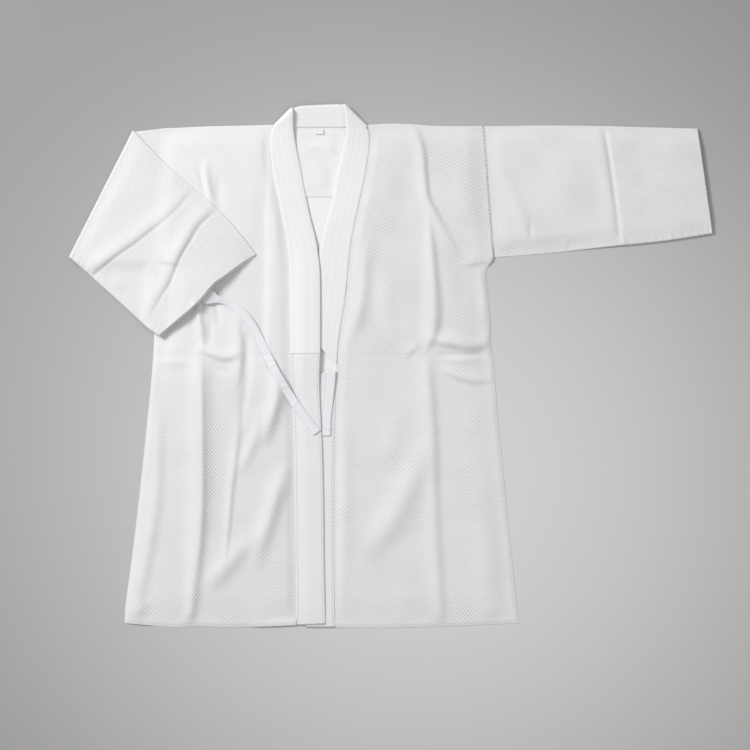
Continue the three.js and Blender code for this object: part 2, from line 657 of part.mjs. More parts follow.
const ROOT_STEPS = 3;
const BEND_STEPS = 6;
const FOLDED_STEPS = 13;
const FOLD_PIVOT = ROOT_TOP + 0.2;
const SETTLE = 0.12;
function rightSleeve() {
  const between = (a, b, t) =>
    Object.fromEntries(Object.keys(a).map((column) => [column, lerp(a[column], b[column], t)]));
  const foldX = RIGHT_FOLD.lowX - RIGHT_FOLD.topX;
  const foldY = RIGHT_FOLD.lowY - RIGHT_FOLD.topY;
  const foldLength = Math.hypot(foldX, foldY);
  const out = new THREE.Vector3(foldY / foldLength, -foldX / foldLength, 0);
  const flat = (x, y, layer, depth) => flatSleeveHeight([], x, y, layer, depth, LAYER_AIR);
  const root = shares(ROOT_STEPS).map((t) => {
    const section = between(RIGHT_ARMHOLE, RIGHT_FOLD, t);
    return sleeveRing(section, (u, layer, depth) => {
      const [x, y] = across(section, u);
      return new THREE.Vector3(x, y, flat(x, y, layer, depth));
    });
  });
  const bend = shares(BEND_STEPS)
    .slice(1)
    .map((t) =>
      sleeveRing(RIGHT_FOLD, (u, layer, depth) => {
        const [x, y] = across(RIGHT_FOLD, u);
        const arm = flat(x, y, layer, depth) - FOLD_PIVOT;
        const turn = t * Math.PI;
        return new THREE.Vector3(x, y, FOLD_PIVOT + arm * Math.cos(turn)).addScaledVector(
          out,
          -arm * Math.sin(turn),
        );
      }),
    );
  const [topBow, lowBow] = ["top", "low"].map((column) => curve(RIGHT_BOW_ROWS, "at", column));
  const cuffLift = curve(CUFF_LIFT_ROWS, "across", "lift");
  const cuffDip = curve(CUFF_DIP_ROWS, "across", "pull");
  const folded = shares(FOLDED_STEPS)
    .slice(1)
    .map((t) => {
      const section = between(RIGHT_FOLD, RIGHT_CUFF, t);
      section.topX += topBow(t) * Math.SQRT1_2;
      section.topY += topBow(t) * Math.SQRT1_2;
      section.lowX -= lowBow(t) * Math.SQRT1_2;
      section.lowY -= lowBow(t) * Math.SQRT1_2;
      const settled = smoothstep(t, 0, SETTLE);
      const air = lerp(LAYER_AIR, CUFF_AIR, t);
      return sleeveRing(section, (u, layer, depth) => {
        const [x, y] = across(section, u);
        const step = { front: 0, edge: 0.5, back: 1 }[layer] * CUFF_STEP;
        const pulled = (cuffDip(u) + step) * t ** 3;
        const lift = cuffLift(u) * t * t;
        const bottom = lerp(FOLD_PIVOT, under(x, y) + GAP + lift, settled);
        const low = Math.max(bottom, GAP) + 0.1 + Math.max(relief(RIGHT_SLEEVE_FOLDS, x, y), 0);
        const stack = { front: depth * CLOTH, edge: CLOTH + air / 2 };
        const back = 2 * CLOTH + air - depth * CLOTH;
        const z = low + (stack[layer] ?? back);
        return new THREE.Vector3(x, y, z).addScaledVector(out, pulled);
      });
    });
  const rings = [...root, ...bend, ...folded];
  return wall(
    rings.map((ring) => ring.outer),
    rings.map((ring) => ring.inner),
    true,
  );
}

// Loops of a band from stations that give its free edge and its seam edge. The loop runs along one
// face and back along the other. bulge(w) thickens both faces at a share w of the width.
function bandLoops(stations, thickness, steps, bulge) {
  const middle = stations.map(({ free, seam }) => free.clone().add(seam).multiplyScalar(0.5));
  return stations.map(({ free, seam, sag }, i) => {
    const before = middle[Math.max(i - 1, 0)];
    const after = middle[Math.min(i + 1, middle.length - 1)];
    const width = free.clone().sub(seam);
    const normal = new THREE.Vector3()
      .crossVectors(after.clone().sub(before), width)
      .normalize();
    const face = (sign) => (w) => {
      const point = seam.clone().lerp(free, w);
      point.z += sag ? sag(w) : 0;
      return point.addScaledVector(normal, sign * (thickness / 2 - bulge(w)));
    };
    const row = shares(steps);
    return [...row.map(face(1)), ...row.toReversed().map(face(-1))];
  });
}

// The collar: up the right front, round the neck, down the left front, in one quilted band.
function collar() {
  const middle = FRONT_OVER_YOKE + COLLAR_THICK / 2;
  const front = (rows, side) =>
    rows.map((row) => {
      const seamX = (side < 0 ? rightSeamX : leftSeamX)(row.seamY);
      const rise = row.freeLift - row.seamLift;
      return {
        free: new THREE.Vector3(row.x, row.y, middle + row.freeLift),
        seam: new THREE.Vector3(seamX, row.seamY, middle + row.seamLift),
        sag: (w) => rise * (smoothstep(w, 0, 0.52) - w) * (rise > 5.5 ? 0 : 1),
      };
    });
  const fold = (side, turns) => {
    const { seamX, seamY, freeX, freeY, outX, outY } = NECK_FOLDS[side];
    const { seamRadius, freeRadius, seamAxisZ, freeAxisZ } = NECK_FOLD_SIZES;
    return turns.map((t) => {
      const turn = t * Math.PI;
      const spoke = new THREE.Vector3(outX, outY, 0)
        .multiplyScalar(Math.sin(turn))
        .add(new THREE.Vector3(0, 0, Math.cos(turn)));
      return {
        free: new THREE.Vector3(freeX, freeY, freeAxisZ).addScaledVector(spoke, freeRadius),
        seam: new THREE.Vector3(seamX, seamY, seamAxisZ).addScaledVector(spoke, seamRadius),
      };
    });
  };
  const neck = NECK_COLLAR_ROWS.map((row) => ({
    free: new THREE.Vector3(row.x, row.y, row.freeZ),
    seam: new THREE.Vector3(row.seamX, row.seamY, row.seamZ),
  }));
  const turns = shares(5);
  const stations = [
    ...front(RIGHT_COLLAR_ROWS, -1),
    ...fold("right", turns),
    ...neck,
    ...fold("left", turns.toReversed()),
    ...front(LEFT_COLLAR_ROWS, 1),
  ];
  const groove = (w) => CHANNEL_DEPTH * Math.cos(w * CHANNELS * Math.PI) ** 8;
  return loft(bandLoops(stations, COLLAR_THICK, 2 * CHANNELS, groove));
}

// Front bands below the waist. The right one laps over the left one.
const BAND_STEPS = 12;
function rightBand() {
  const stations = shares(BAND_STEPS).map((v) => {
    const seamY = lerp(-SEAM_GAP, hemY(-44), v);
    const freeY = lerp(-SEAM_GAP, hemY(6), v);
    const middle = FRONT_LOW + 0.1 + BAND_THICK / 2 + 0.5 * (1 - v);
    return {
      seam: new THREE.Vector3(rightSeamX(seamY), seamY, middle),
      free: new THREE.Vector3(rightBandX(freeY), freeY, middle + BAND_LAP_LIFT),
      sag: (w) => BAND_LAP_LIFT * (smoothstep(w, 0, 0.32) - w),
    };
  });
  return loft(bandLoops(stations, BAND_THICK, 6, () => 0));
}
function leftBand() {
  const middle = FRONT_LOW + BAND_THICK / 2;
  const stations = shares(BAND_STEPS).map((v) => {
    const y = lerp(LEFT_BAND_TOP, LEFT_BAND_LOW, v);
    const x = leftSeamX(y);
    return {
      seam: new THREE.Vector3(x, y, middle),
      free: new THREE.Vector3(x - LEFT_BAND_WIDTH, y, middle),
    };
  });
  return loft(bandLoops(stations, BAND_THICK, 4, () => 0));
}

// A tie: a flat tape on a smooth line through its rows, rolled about that line. It clears the
// highest of the places that it covers there.
const TIE_REACH = 8;
function tie(rows, steps, restsOn) {
  const around = [-1, 0, 1].flatMap((i) => [-1, 0, 1].map((j) => [i * TIE_REACH, j * TIE_REACH]));
  const highest = (x, y) => Math.max(...around.map(([dx, dy]) => restsOn(x + dx, y + dy)));
  const centre = new THREE.CatmullRomCurve3(
    rows.map((row) => new THREE.Vector3(row.x, row.y, highest(row.x, row.y) + row.lift)),
    false,
    "centripetal",
  );
  const placed = rows.map((row, i) => ({ ...row, at: i / (rows.length - 1) }));
  const rollAt = curve(placed, "at", "roll");
  const widthAt = curve(placed, "at", "width");
  const stations = shares(steps).map((t) => {
    const point = centre.getPoint(t);
    const heading = centre.getTangent(t).setZ(0).normalize();
    const roll = THREE.MathUtils.degToRad(rollAt(t));
    const half = new THREE.Vector3(-heading.y, heading.x, 0)
      .multiplyScalar(Math.cos(roll))
      .setZ(Math.sin(roll))
      .multiplyScalar(widthAt(t) / 2);
    return { free: point.clone().add(half), seam: point.clone().sub(half) };
  });
  return loft(bandLoops(stations, TIE_THICK, 1, () => 0));
}

// What the right tie lies on: the right front, then the right band with its lap over the left one.
const RIGHT_BAND_TOP = FRONT_LOW + 0.1 + BAND_THICK + 0.5;
function underRightTie(x, y) {
  const onBand = RIGHT_BAND_TOP + BAND_LAP_LIFT * smoothstep(x, -58, -34);
  const onFront = frontTop(-1, Math.max(x, sideX(-1, y)), y);
  return Math.max(onFront, lerp(0, onBand, smoothstep(x, -66, -58)));
}

function label() {
  const { width, height, x, top } = LABEL;
  const geometry = new THREE.BoxGeometry(width, height, LABEL_THICK);
  const z = YOKE_BOTTOM + LINING + GAP + LABEL_THICK / 2;
  return geometry.translate(x, top - height / 2, z);
}

const upperBackLevels = upperLevels(NECK_Y, BACK_WAIST_Y + SEAM_GAP);
piece("back_upper", "sashiko", back(upperBackLevels, BACK_UPPER_COLUMNS));
const skirtLevels = shares(BACK_SKIRT_ROWS).map((t) => lerp(BACK_WAIST_Y - SEAM_GAP, hemY(0), t));
piece("back_skirt", "skirt", back(skirtLevels, BACK_SKIRT_COLUMNS));
piece("inner_yoke", "lining", yoke());
piece("front_right_upper", "sashiko", upperFront(-1));
piece("front_left_upper", "sashiko", upperFront(1));
piece("front_right_skirt", "skirt", frontSkirt(-1));
piece("front_left_skirt", "skirt", frontSkirt(1));
piece("sleeve_left", "sashiko", leftSleeve());
piece("sleeve_right", "sashiko", rightSleeve());
piece("collar", "collar", collar());
piece("band_right", "skirt", rightBand());
piece("band_left", "skirt", leftBand());
piece("tie_right", "tape", tie(RIGHT_TIE_ROWS, 30, underRightTie));
piece("tie_left", "tape", tie(LEFT_TIE_ROWS, 10, () => FRONT_LOW + BAND_THICK));
piece("neck_label", "tape", label());

export default jacket;
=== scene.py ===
"""Kendo jacket of heavy white cotton, laid flat on its back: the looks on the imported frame.

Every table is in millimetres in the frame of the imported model: X runs from the wearer's right to
the wearer's left, Y from the hem to the collar, and Z up from the surface that the jacket is on.
"""

import logging
import math
from collections.abc import Callable
from dataclasses import dataclass, field
from enum import Enum

import bpy
import numpy as np
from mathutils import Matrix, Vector


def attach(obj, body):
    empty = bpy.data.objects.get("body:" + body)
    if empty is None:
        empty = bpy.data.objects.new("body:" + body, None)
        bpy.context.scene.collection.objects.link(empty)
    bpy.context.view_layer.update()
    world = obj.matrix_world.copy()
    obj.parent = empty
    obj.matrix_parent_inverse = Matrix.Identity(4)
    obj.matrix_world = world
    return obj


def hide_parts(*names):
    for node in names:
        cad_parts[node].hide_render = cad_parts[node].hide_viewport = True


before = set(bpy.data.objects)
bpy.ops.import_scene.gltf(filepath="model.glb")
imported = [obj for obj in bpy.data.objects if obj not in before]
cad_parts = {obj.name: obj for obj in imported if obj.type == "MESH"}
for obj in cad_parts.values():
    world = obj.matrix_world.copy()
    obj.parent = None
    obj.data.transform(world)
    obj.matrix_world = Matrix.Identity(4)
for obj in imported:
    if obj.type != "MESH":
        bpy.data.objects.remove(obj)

log = logging.getLogger("kendo_jacket")
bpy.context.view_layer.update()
MM = 0.001
Shape = Callable[[np.ndarray, np.ndarray], np.ndarray]


class Side(Enum):
    """The wearer's right, at negative X, or left, at positive X."""

    RIGHT = -1
    LEFT = 1


@dataclass(frozen=True)
class Stock:
    """Thicknesses of the cloths and the heights at which the layers rest.

    Attributes:
        cloth: Thickness of the woven cotton.
        lining: Thickness of the yoke's lining.
        collar: Thickness of the quilted collar.
        band: Thickness of the front bands.
        tape: Thickness of the ties.
        label: Thickness of the neck label.
        gap: Air between two layers that touch.
        seam: Air at each side of a sewn seam.
    """

    cloth: float = 1.6
    lining: float = 0.8
    collar: float = 3.4
    band: float = 2.2
    tape: float = 1.2
    label: float = 0.5
    gap: float = 0.3
    seam: float = 0.03

    @property
    def front_low(self) -> float:
        """Underside of a front where it lies on the back."""
        return self.cloth + self.gap

    @property
    def over_yoke(self) -> float:
        """Underside of a front where it lies on the yoke."""
        return self.front_low + self.lining + self.gap


STOCK = Stock()
SHOULDER_Y = 386.0
SHOULDER_RADIUS = (STOCK.over_yoke + STOCK.cloth) / 2
NECK_Y = 383.2
BACK_WAIST_Y = 14.0
YOKE_LOW_Y = 267.0
YOKE_HALF = 150.0
FRONT_PUFF = 3.0
EDGE_FADE = 34.0
FOLD_FADE = 9.0
SINK = 58.0
SUNK_LOW = 0.75
TIP = 7.0
TIP_LOW = 0.15
FAR = 1000.0


# ---- shapes in numpy ----


def smoothstep(value: np.ndarray, low: float, high: float) -> np.ndarray:
    """Rises from 0 at low to 1 at high as 3t^2 - 2t^3.

    Args:
        value: Places to work it out at.
        low: Value below which it is 0.
        high: Value above which it is 1.

    Returns:
        The shares, in the shape of value.
    """
    t = np.clip((np.asarray(value, float) - low) / (high - low), 0, 1)
    return t * t * (3 - 2 * t)


def mix(a: np.ndarray, b: np.ndarray, t: np.ndarray) -> np.ndarray:
    """The straight blend a + (b - a) t.

    Args:
        a: Value at t = 0.
        b: Value at t = 1.
        t: Share of b.

    Returns:
        The blend, in the shape that the three broadcast to.
    """
    return a + (np.asarray(b) - a) * t


def joined(*parts: np.ndarray) -> np.ndarray:
    """Coordinates of one shape put together into points along a new last axis."""
    return np.stack(parts, axis=-1)


def distance_along(points: np.ndarray) -> np.ndarray:
    """Distance of each point from the first, added up from point to point."""
    steps = np.linalg.norm(np.diff(points, axis=0), axis=1)
    return np.concatenate([[0], np.cumsum(steps)])


class Smooth:
    """A smooth line through the rows of a table.

    Between two rows it is the cubic that has their values and, at each row, the slope of the
    straight line between that row's neighbours.
    """

    def __init__(self, keys: np.ndarray, values: np.ndarray) -> None:
        """Sorts the rows and works out their slopes.

        Args:
            keys: Where the rows are.
            values: What the line passes through there.
        """
        order = np.argsort(keys)
        self.keys = np.asarray(keys, float)[order]
        self.values = np.asarray(values, float)[order]
        last = len(order) - 1
        before = np.maximum(np.arange(last + 1) - 1, 0)
        after = np.minimum(np.arange(last + 1) + 1, last)
        rise = self.values[after] - self.values[before]
        self.slopes = rise / (self.keys[after] - self.keys[before])

    def __call__(self, at: np.ndarray) -> np.ndarray:
        """The line's value.

        Args:
            at: Places along the keys.

        Returns:
            The values, in the shape of at.
        """
        at = np.asarray(at, float)
        i = np.clip(np.searchsorted(self.keys, at, side="right") - 1, 0, len(self.keys) - 2)
        span = self.keys[i + 1] - self.keys[i]
        t = np.clip((at - self.keys[i]) / span, 0, 1)
        rest = 1 - t
        return (
            self.values[i] * (1 + 2 * t) * rest**2
            + self.slopes[i] * span * t * rest**2
            + self.values[i + 1] * (3 - 2 * t) * t**2
            - self.slopes[i + 1] * span * rest * t**2
        )


def smooth_rows(rows: dict[str, tuple[float, ...]], key: str, column: str) -> Smooth:
    """A smooth line through one column of a table, placed by another."""
    return Smooth(rows[key], rows[column])


@dataclass(frozen=True)
class Crease:
    """A soft ridge, or a trough where its height is negative, along a smooth bent line.

    Attributes:
        x: X of the points that the line passes through.
        y: Y of those points.
        height: Height at each of them.
        spread: Distance from the line at which it is down to 1/e, for all or for each of them.
        skew: From -1 to 1, how much steeper its flank on the right of its run is.
    """

    x: tuple[float, ...]
    y: tuple[float, ...]
    height: tuple[float, ...]
    spread: float | tuple[float, ...] = 10.0
    skew: float = 0.0

    def height_at(self, x: np.ndarray, y: np.ndarray) -> np.ndarray:
        """A bell across the line, exp(-(distance / spread)^2), with the height of the nearest point.

        Args:
            x: X of the places.
            y: Y of the places.

        Returns:
            The heights there.
        """
        knots = joined(self.x, self.y).astype(float)
        keys = distance_along(knots)
        along = np.linspace(0, keys[-1], 8 * len(keys))
        line = np.stack([Smooth(keys, knots[:, k])(along) for k in (0, 1)], axis=-1)
        run = np.gradient(line, axis=0)
        run /= np.linalg.norm(run, axis=1, keepdims=True)
        away_x = np.asarray(x, float)[..., None] - line[:, 0]
        away_y = np.asarray(y, float)[..., None] - line[:, 1]
        near = np.argmin(away_x**2 + away_y**2, axis=-1)
        away_x = np.take_along_axis(away_x, near[..., None], -1)[..., 0]
        away_y = np.take_along_axis(away_y, near[..., None], -1)[..., 0]
        reached = along[near] + away_x * run[near, 0] + away_y * run[near, 1]
        across = away_x * run[near, 1] - away_y * run[near, 0]
        spread = Smooth(keys, np.broadcast_to(self.spread, keys.shape))(reached)
        spread = spread * (1 - self.skew * np.tanh(across / spread))
        past = np.maximum(-reached, reached - keys[-1]).clip(0)
        fade = np.exp(-((past / spread) ** 2))
        return Smooth(keys, self.height)(reached) * fade * np.exp(-((across / spread) ** 2))


def relief(folds: list[Crease], x: np.ndarray, y: np.ndarray) -> np.ndarray:
    """The heights of several folds added up.

    Args:
        folds: The folds.
        x: X of the places.
        y: Y of the places.

    Returns:
        The sum of the heights.
    """
    return sum((fold.height_at(x, y) for fold in folds), np.zeros(np.broadcast(x, y).shape))


def slack(x: np.ndarray, y: np.ndarray, shift: float = 0.0) -> np.ndarray:
    """Slight unevenness of cloth that lies free: five long waves of unlike headings added up.

    Args:
        x: X of the places.
        y: Y of the places.
        shift: Phase that makes one piece's waves unlike another's.

    Returns:
        Heights of about half a millimetre either way.
    """
    waves = [(0.3, 92, 0.20), (1.9, 61, 0.13), (2.6, 133, 0.22), (0.9, 41, 0.07), (1.4, 29, 0.04)]
    total = np.zeros(np.broadcast(x, y).shape)
    for heading, length, height in waves:
        phase = 2 * math.pi * (x * math.cos(heading) + y * math.sin(heading)) / length
        total = total + height * np.sin(phase + shift * (1 + heading))
    return total


def soft_floor(value: np.ndarray, ease: float = 0.5) -> np.ndarray:
    """max(value, 0) with a rounded corner, (v + sqrt(v^2 + ease^2)) / 2.

    Args:
        value: Values of either sign.
        ease: Size of the rounding.

    Returns:
        The values, none below 0.
    """
    return (value + np.sqrt(value**2 + ease**2)) / 2


def spread_to_edges(width: float, step: float, lip: float = 0.8) -> np.ndarray:
    """Places from 0 to width: even ones, and two more close to each end for its rounded lip.

    Args:
        width: Last place.
        step: Largest distance between even places.
        lip: How far in from an edge the rounding starts.

    Returns:
        The places, as shares of the width.
    """
    count = max(int(math.ceil((width - 4 * lip) / step)), 2)
    middle = np.linspace(2 * lip, width - 2 * lip, count + 1)
    ends = np.array([0, 0.3 * lip, lip])
    return np.concatenate([ends, middle, width - ends[::-1]]) / width


def lip_thinning(distance: np.ndarray, lip: float = 0.8) -> np.ndarray:
    """Share of the full thickness near an edge: a quarter circle, sqrt(1 - (1 - d / lip)^2).

    Args:
        distance: Distance from the edge.
        lip: Radius of the rounding.

    Returns:
        Shares from 0.25 at the edge to 1.
    """
    t = np.clip(distance / lip, 0, 1)
    return 0.25 + 0.75 * np.sqrt(np.clip(1 - (1 - t) ** 2, 0, 1))


def make_object(
    name: str, points: np.ndarray, faces: np.ndarray, maps: dict[str, np.ndarray]
) -> bpy.types.Object:
    """A mesh object at the origin from arrays in millimetres.

    Args:
        name: The piece's name.
        points: Vertices, n by 3.
        faces: Corners of the faces, all of one length.
        maps: Coordinates of each face corner, in metres, under the maps' names.

    Returns:
        The object, linked to the scene and shaded smooth.
    """
    mesh = bpy.data.meshes.new(name)
    corners = faces.shape[1]
    mesh.vertices.add(len(points))
    mesh.vertices.foreach_set("co", (points * MM).astype(np.float32).ravel())
    mesh.loops.add(faces.size)
    mesh.loops.foreach_set("vertex_index", faces.astype(np.int32).ravel())
    mesh.polygons.add(len(faces))
    mesh.polygons.foreach_set("loop_start", np.arange(0, faces.size, corners, dtype=np.int32))
    mesh.polygons.foreach_set("use_smooth", np.ones(len(faces), bool))
    for key, places in maps.items():
        layer = mesh.uv_layers.new(name=key)
        layer.data.foreach_set("uv", places.reshape(-1).astype(np.float32))
    mesh.update(calc_edges=True)
    mesh.validate()
    made = bpy.data.objects.new(name, mesh)
    bpy.context.scene.collection.objects.link(made)
    return made


def shell(
    name: str,
    outer: np.ndarray,
    inner: np.ndarray,
    uv: np.ndarray,
    seam: np.ndarray | None = None,
    tube: bool = False,
    weave: tuple[float | np.ndarray, float] = (1.0, 1.0),
) -> bpy.types.Object:
    """A closed wall between two grids of points, joined by rims.

    Args:
        name: The piece's name.
        outer: Grid of the outer skin, rows by columns by 3.
        inner: Grid of the inner skin, of the same size.
        uv: Cloth coordinates of the grid, in millimetres. A tube has one more column of them.
        seam: Distance from the piece's stitched seam and along it, on the same grid, if it has one.
        tube: The columns close on themselves, so only the first and last rows get a rim.
        weave: How strongly the weave stands out on the outer skin, or at each of its points, and
            on the inner skin.

    Returns:
        The object, with its faces pointing outwards.
    """
    rows, columns = outer.shape[:2]
    index = np.arange(rows * columns).reshape(rows, columns)
    if tube:
        index = np.concatenate([index, index[:, :1]], axis=1)
    place = np.arange(rows * uv.shape[1]).reshape(rows, uv.shape[1])
    skin = rows * columns

    def quads(grid: np.ndarray) -> np.ndarray:
        """Corners of the cells of a grid, in turn round each cell."""
        cells = [grid[:-1, :-1], grid[:-1, 1:], grid[1:, 1:], grid[1:, :-1]]
        return np.stack(cells, axis=-1).reshape(-1, 4)

    def rim(line: np.ndarray, flip: bool) -> np.ndarray:
        """Quads from a line of the outer skin to the same line of the inner one."""
        made = np.stack([line[:-1], line[:-1] + skin, line[1:] + skin, line[1:]], axis=-1)
        return made[:, ::-1] if flip else made

    def rim_uv(line: np.ndarray, flip: bool) -> np.ndarray:
        """Places of the same rim's corners."""
        made = np.stack([line[:-1], line[:-1], line[1:], line[1:]], axis=-1)
        return made[:, ::-1] if flip else made

    faces = [quads(index), quads(index)[:, ::-1] + skin, rim(index[0], False), rim(index[-1], True)]
    places = [quads(place), quads(place)[:, ::-1], rim_uv(place[0], False), rim_uv(place[-1], True)]
    if not tube:
        faces += [rim(index[:, 0], True), rim(index[:, -1], False)]
        places += [rim_uv(place[:, 0], True), rim_uv(place[:, -1], False)]
    faces, places = np.concatenate(faces), np.concatenate(places)
    points = np.concatenate([outer.reshape(-1, 3), inner.reshape(-1, 3)])
    corners = points[faces]
    fan = np.cross(corners[:, 1] - corners[:, 0], corners[:, 2] - corners[:, 0])
    fan2 = np.cross(corners[:, 2] - corners[:, 0], corners[:, 3] - corners[:, 0])
    volume = np.einsum("ij,ij->", corners[:, 0], fan + fan2)
    if volume < 0:
        faces, places = faces[:, ::-1], places[:, ::-1]
    grids = {"cloth": uv, "seam": np.full_like(uv, FAR) if seam is None else seam}
    maps = {key: grid.reshape(-1, 2)[places] * MM for key, grid in grids.items()}
    strength = [np.broadcast_to(part, (rows, columns)).ravel() for part in weave]
    maps["weave"] = np.repeat(np.concatenate(strength)[faces][..., None], 2, axis=-1)
    return make_object(name, points, faces, maps)


def half_area(piece: bpy.types.Object) -> float:
    """Half of a closed piece's surface, which is its cloth's area.

    Args:
        piece: The piece.

    Returns:
        The area in square metres.
    """
    areas = np.zeros(len(piece.data.polygons))
    piece.data.polygons.foreach_get("area", areas)
    return float(areas.sum()) / 2


# ---- finishes ----


class Nodes:
    """Short ways to add and join shader nodes."""

    def __init__(self, name: str) -> None:
        """Starts a material with a Principled shader.

        Args:
            name: The material's name.
        """
        self.material = bpy.data.materials.new(name)
        self.material.use_nodes = True
        self.tree = self.material.node_tree
        self.shader = self.tree.nodes["Principled BSDF"]

    def node(self, kind: str, settings: dict | None = None, inputs: dict | None = None) -> bpy.types.Node:
        """Adds a node.

        Args:
            kind: Blender's name of the node's type.
            settings: Attributes to set.
            inputs: Values or output sockets to put into named or numbered inputs.

        Returns:
            The node.
        """
        made = self.tree.nodes.new(kind)
        for key, value in (settings or {}).items():
            setattr(made, key, value)
        for key, value in (inputs or {}).items():
            self.put(value, made.inputs[key])
        return made

    def put(self, value: object, socket: bpy.types.NodeSocket) -> None:
        """Joins a socket to another one's output, or sets its value.

        Args:
            value: A value, or the output socket to join.
            socket: The input that it goes to.
        """
        if isinstance(value, bpy.types.NodeSocket):
            self.tree.links.new(value, socket)
        else:
            socket.default_value = value

    def math(self, operation: str, a: object, b: object = 0.0, c: object = 0.0) -> bpy.types.NodeSocket:
        """One step of arithmetic.

        Args:
            operation: Blender's name of the operation.
            a: First value or socket.
            b: Second value or socket.
            c: Third value or socket.

        Returns:
            The result's socket.
        """
        return self.node("ShaderNodeMath", {"operation": operation}, {0: a, 1: b, 2: c}).outputs[0]

    def map_range(self, value: object, ends: dict[int, float]) -> bpy.types.NodeSocket:
        """A straight mapping of a value, with its inputs 1 to 4 from ends."""
        return self.node("ShaderNodeMapRange", inputs={"Value": value, **ends}).outputs[0]

    def noise(self, vector: object, scale: float, detail: float) -> bpy.types.bpy_prop_collection:
        """The outputs of a noise texture."""
        inputs = {"Vector": vector, "Scale": scale, "Detail": detail}
        return self.node("ShaderNodeTexNoise", inputs=inputs).outputs

    def uv(self, name: str) -> bpy.types.NodeSocket:
        """The piece's own coordinates under one of its maps."""
        return self.node("ShaderNodeUVMap", {"uv_map": name}).outputs["UV"]

    def xyz(self, vector: object) -> bpy.types.bpy_prop_collection:
        """The three parts of a vector."""
        return self.node("ShaderNodeSeparateXYZ", inputs={0: vector}).outputs

    def cotton(
        self,
        color: tuple[float, float, float],
        level: object,
        height: object,
        relief: float,
        roughness: float,
        sheen: float,
    ) -> bpy.types.Material:
        """Puts the colour times its level and the raised threads on the shader.

        Args:
            color: Base colour, linear.
            level: Socket that the colour is multiplied by.
            height: Socket of the relief's height.
            relief: What a height of 1 stands for, in millimetres.
            roughness: Roughness of the shader.
            sheen: Weight of its sheen.

        Returns:
            The material.
        """
        bump = self.node(
            "ShaderNodeBump", inputs={"Strength": 1.0, "Distance": relief * MM, "Height": height}
        )
        tint = self.node(
            "ShaderNodeVectorMath", {"operation": "SCALE"}, {0: color, "Scale": level}
        )
        self.put(tint.outputs[0], self.shader.inputs["Base Color"])
        self.put(bump.outputs[0], self.shader.inputs["Normal"])
        self.shader.inputs["Roughness"].default_value = roughness
        self.shader.inputs["Specular IOR Level"].default_value = 0.15
        self.shader.inputs["Sheen Weight"].default_value = sheen
        self.shader.inputs["Sheen Roughness"].default_value = 0.5
        return self.material


SEAM_STITCH = 1.4
STITCH = 4.4


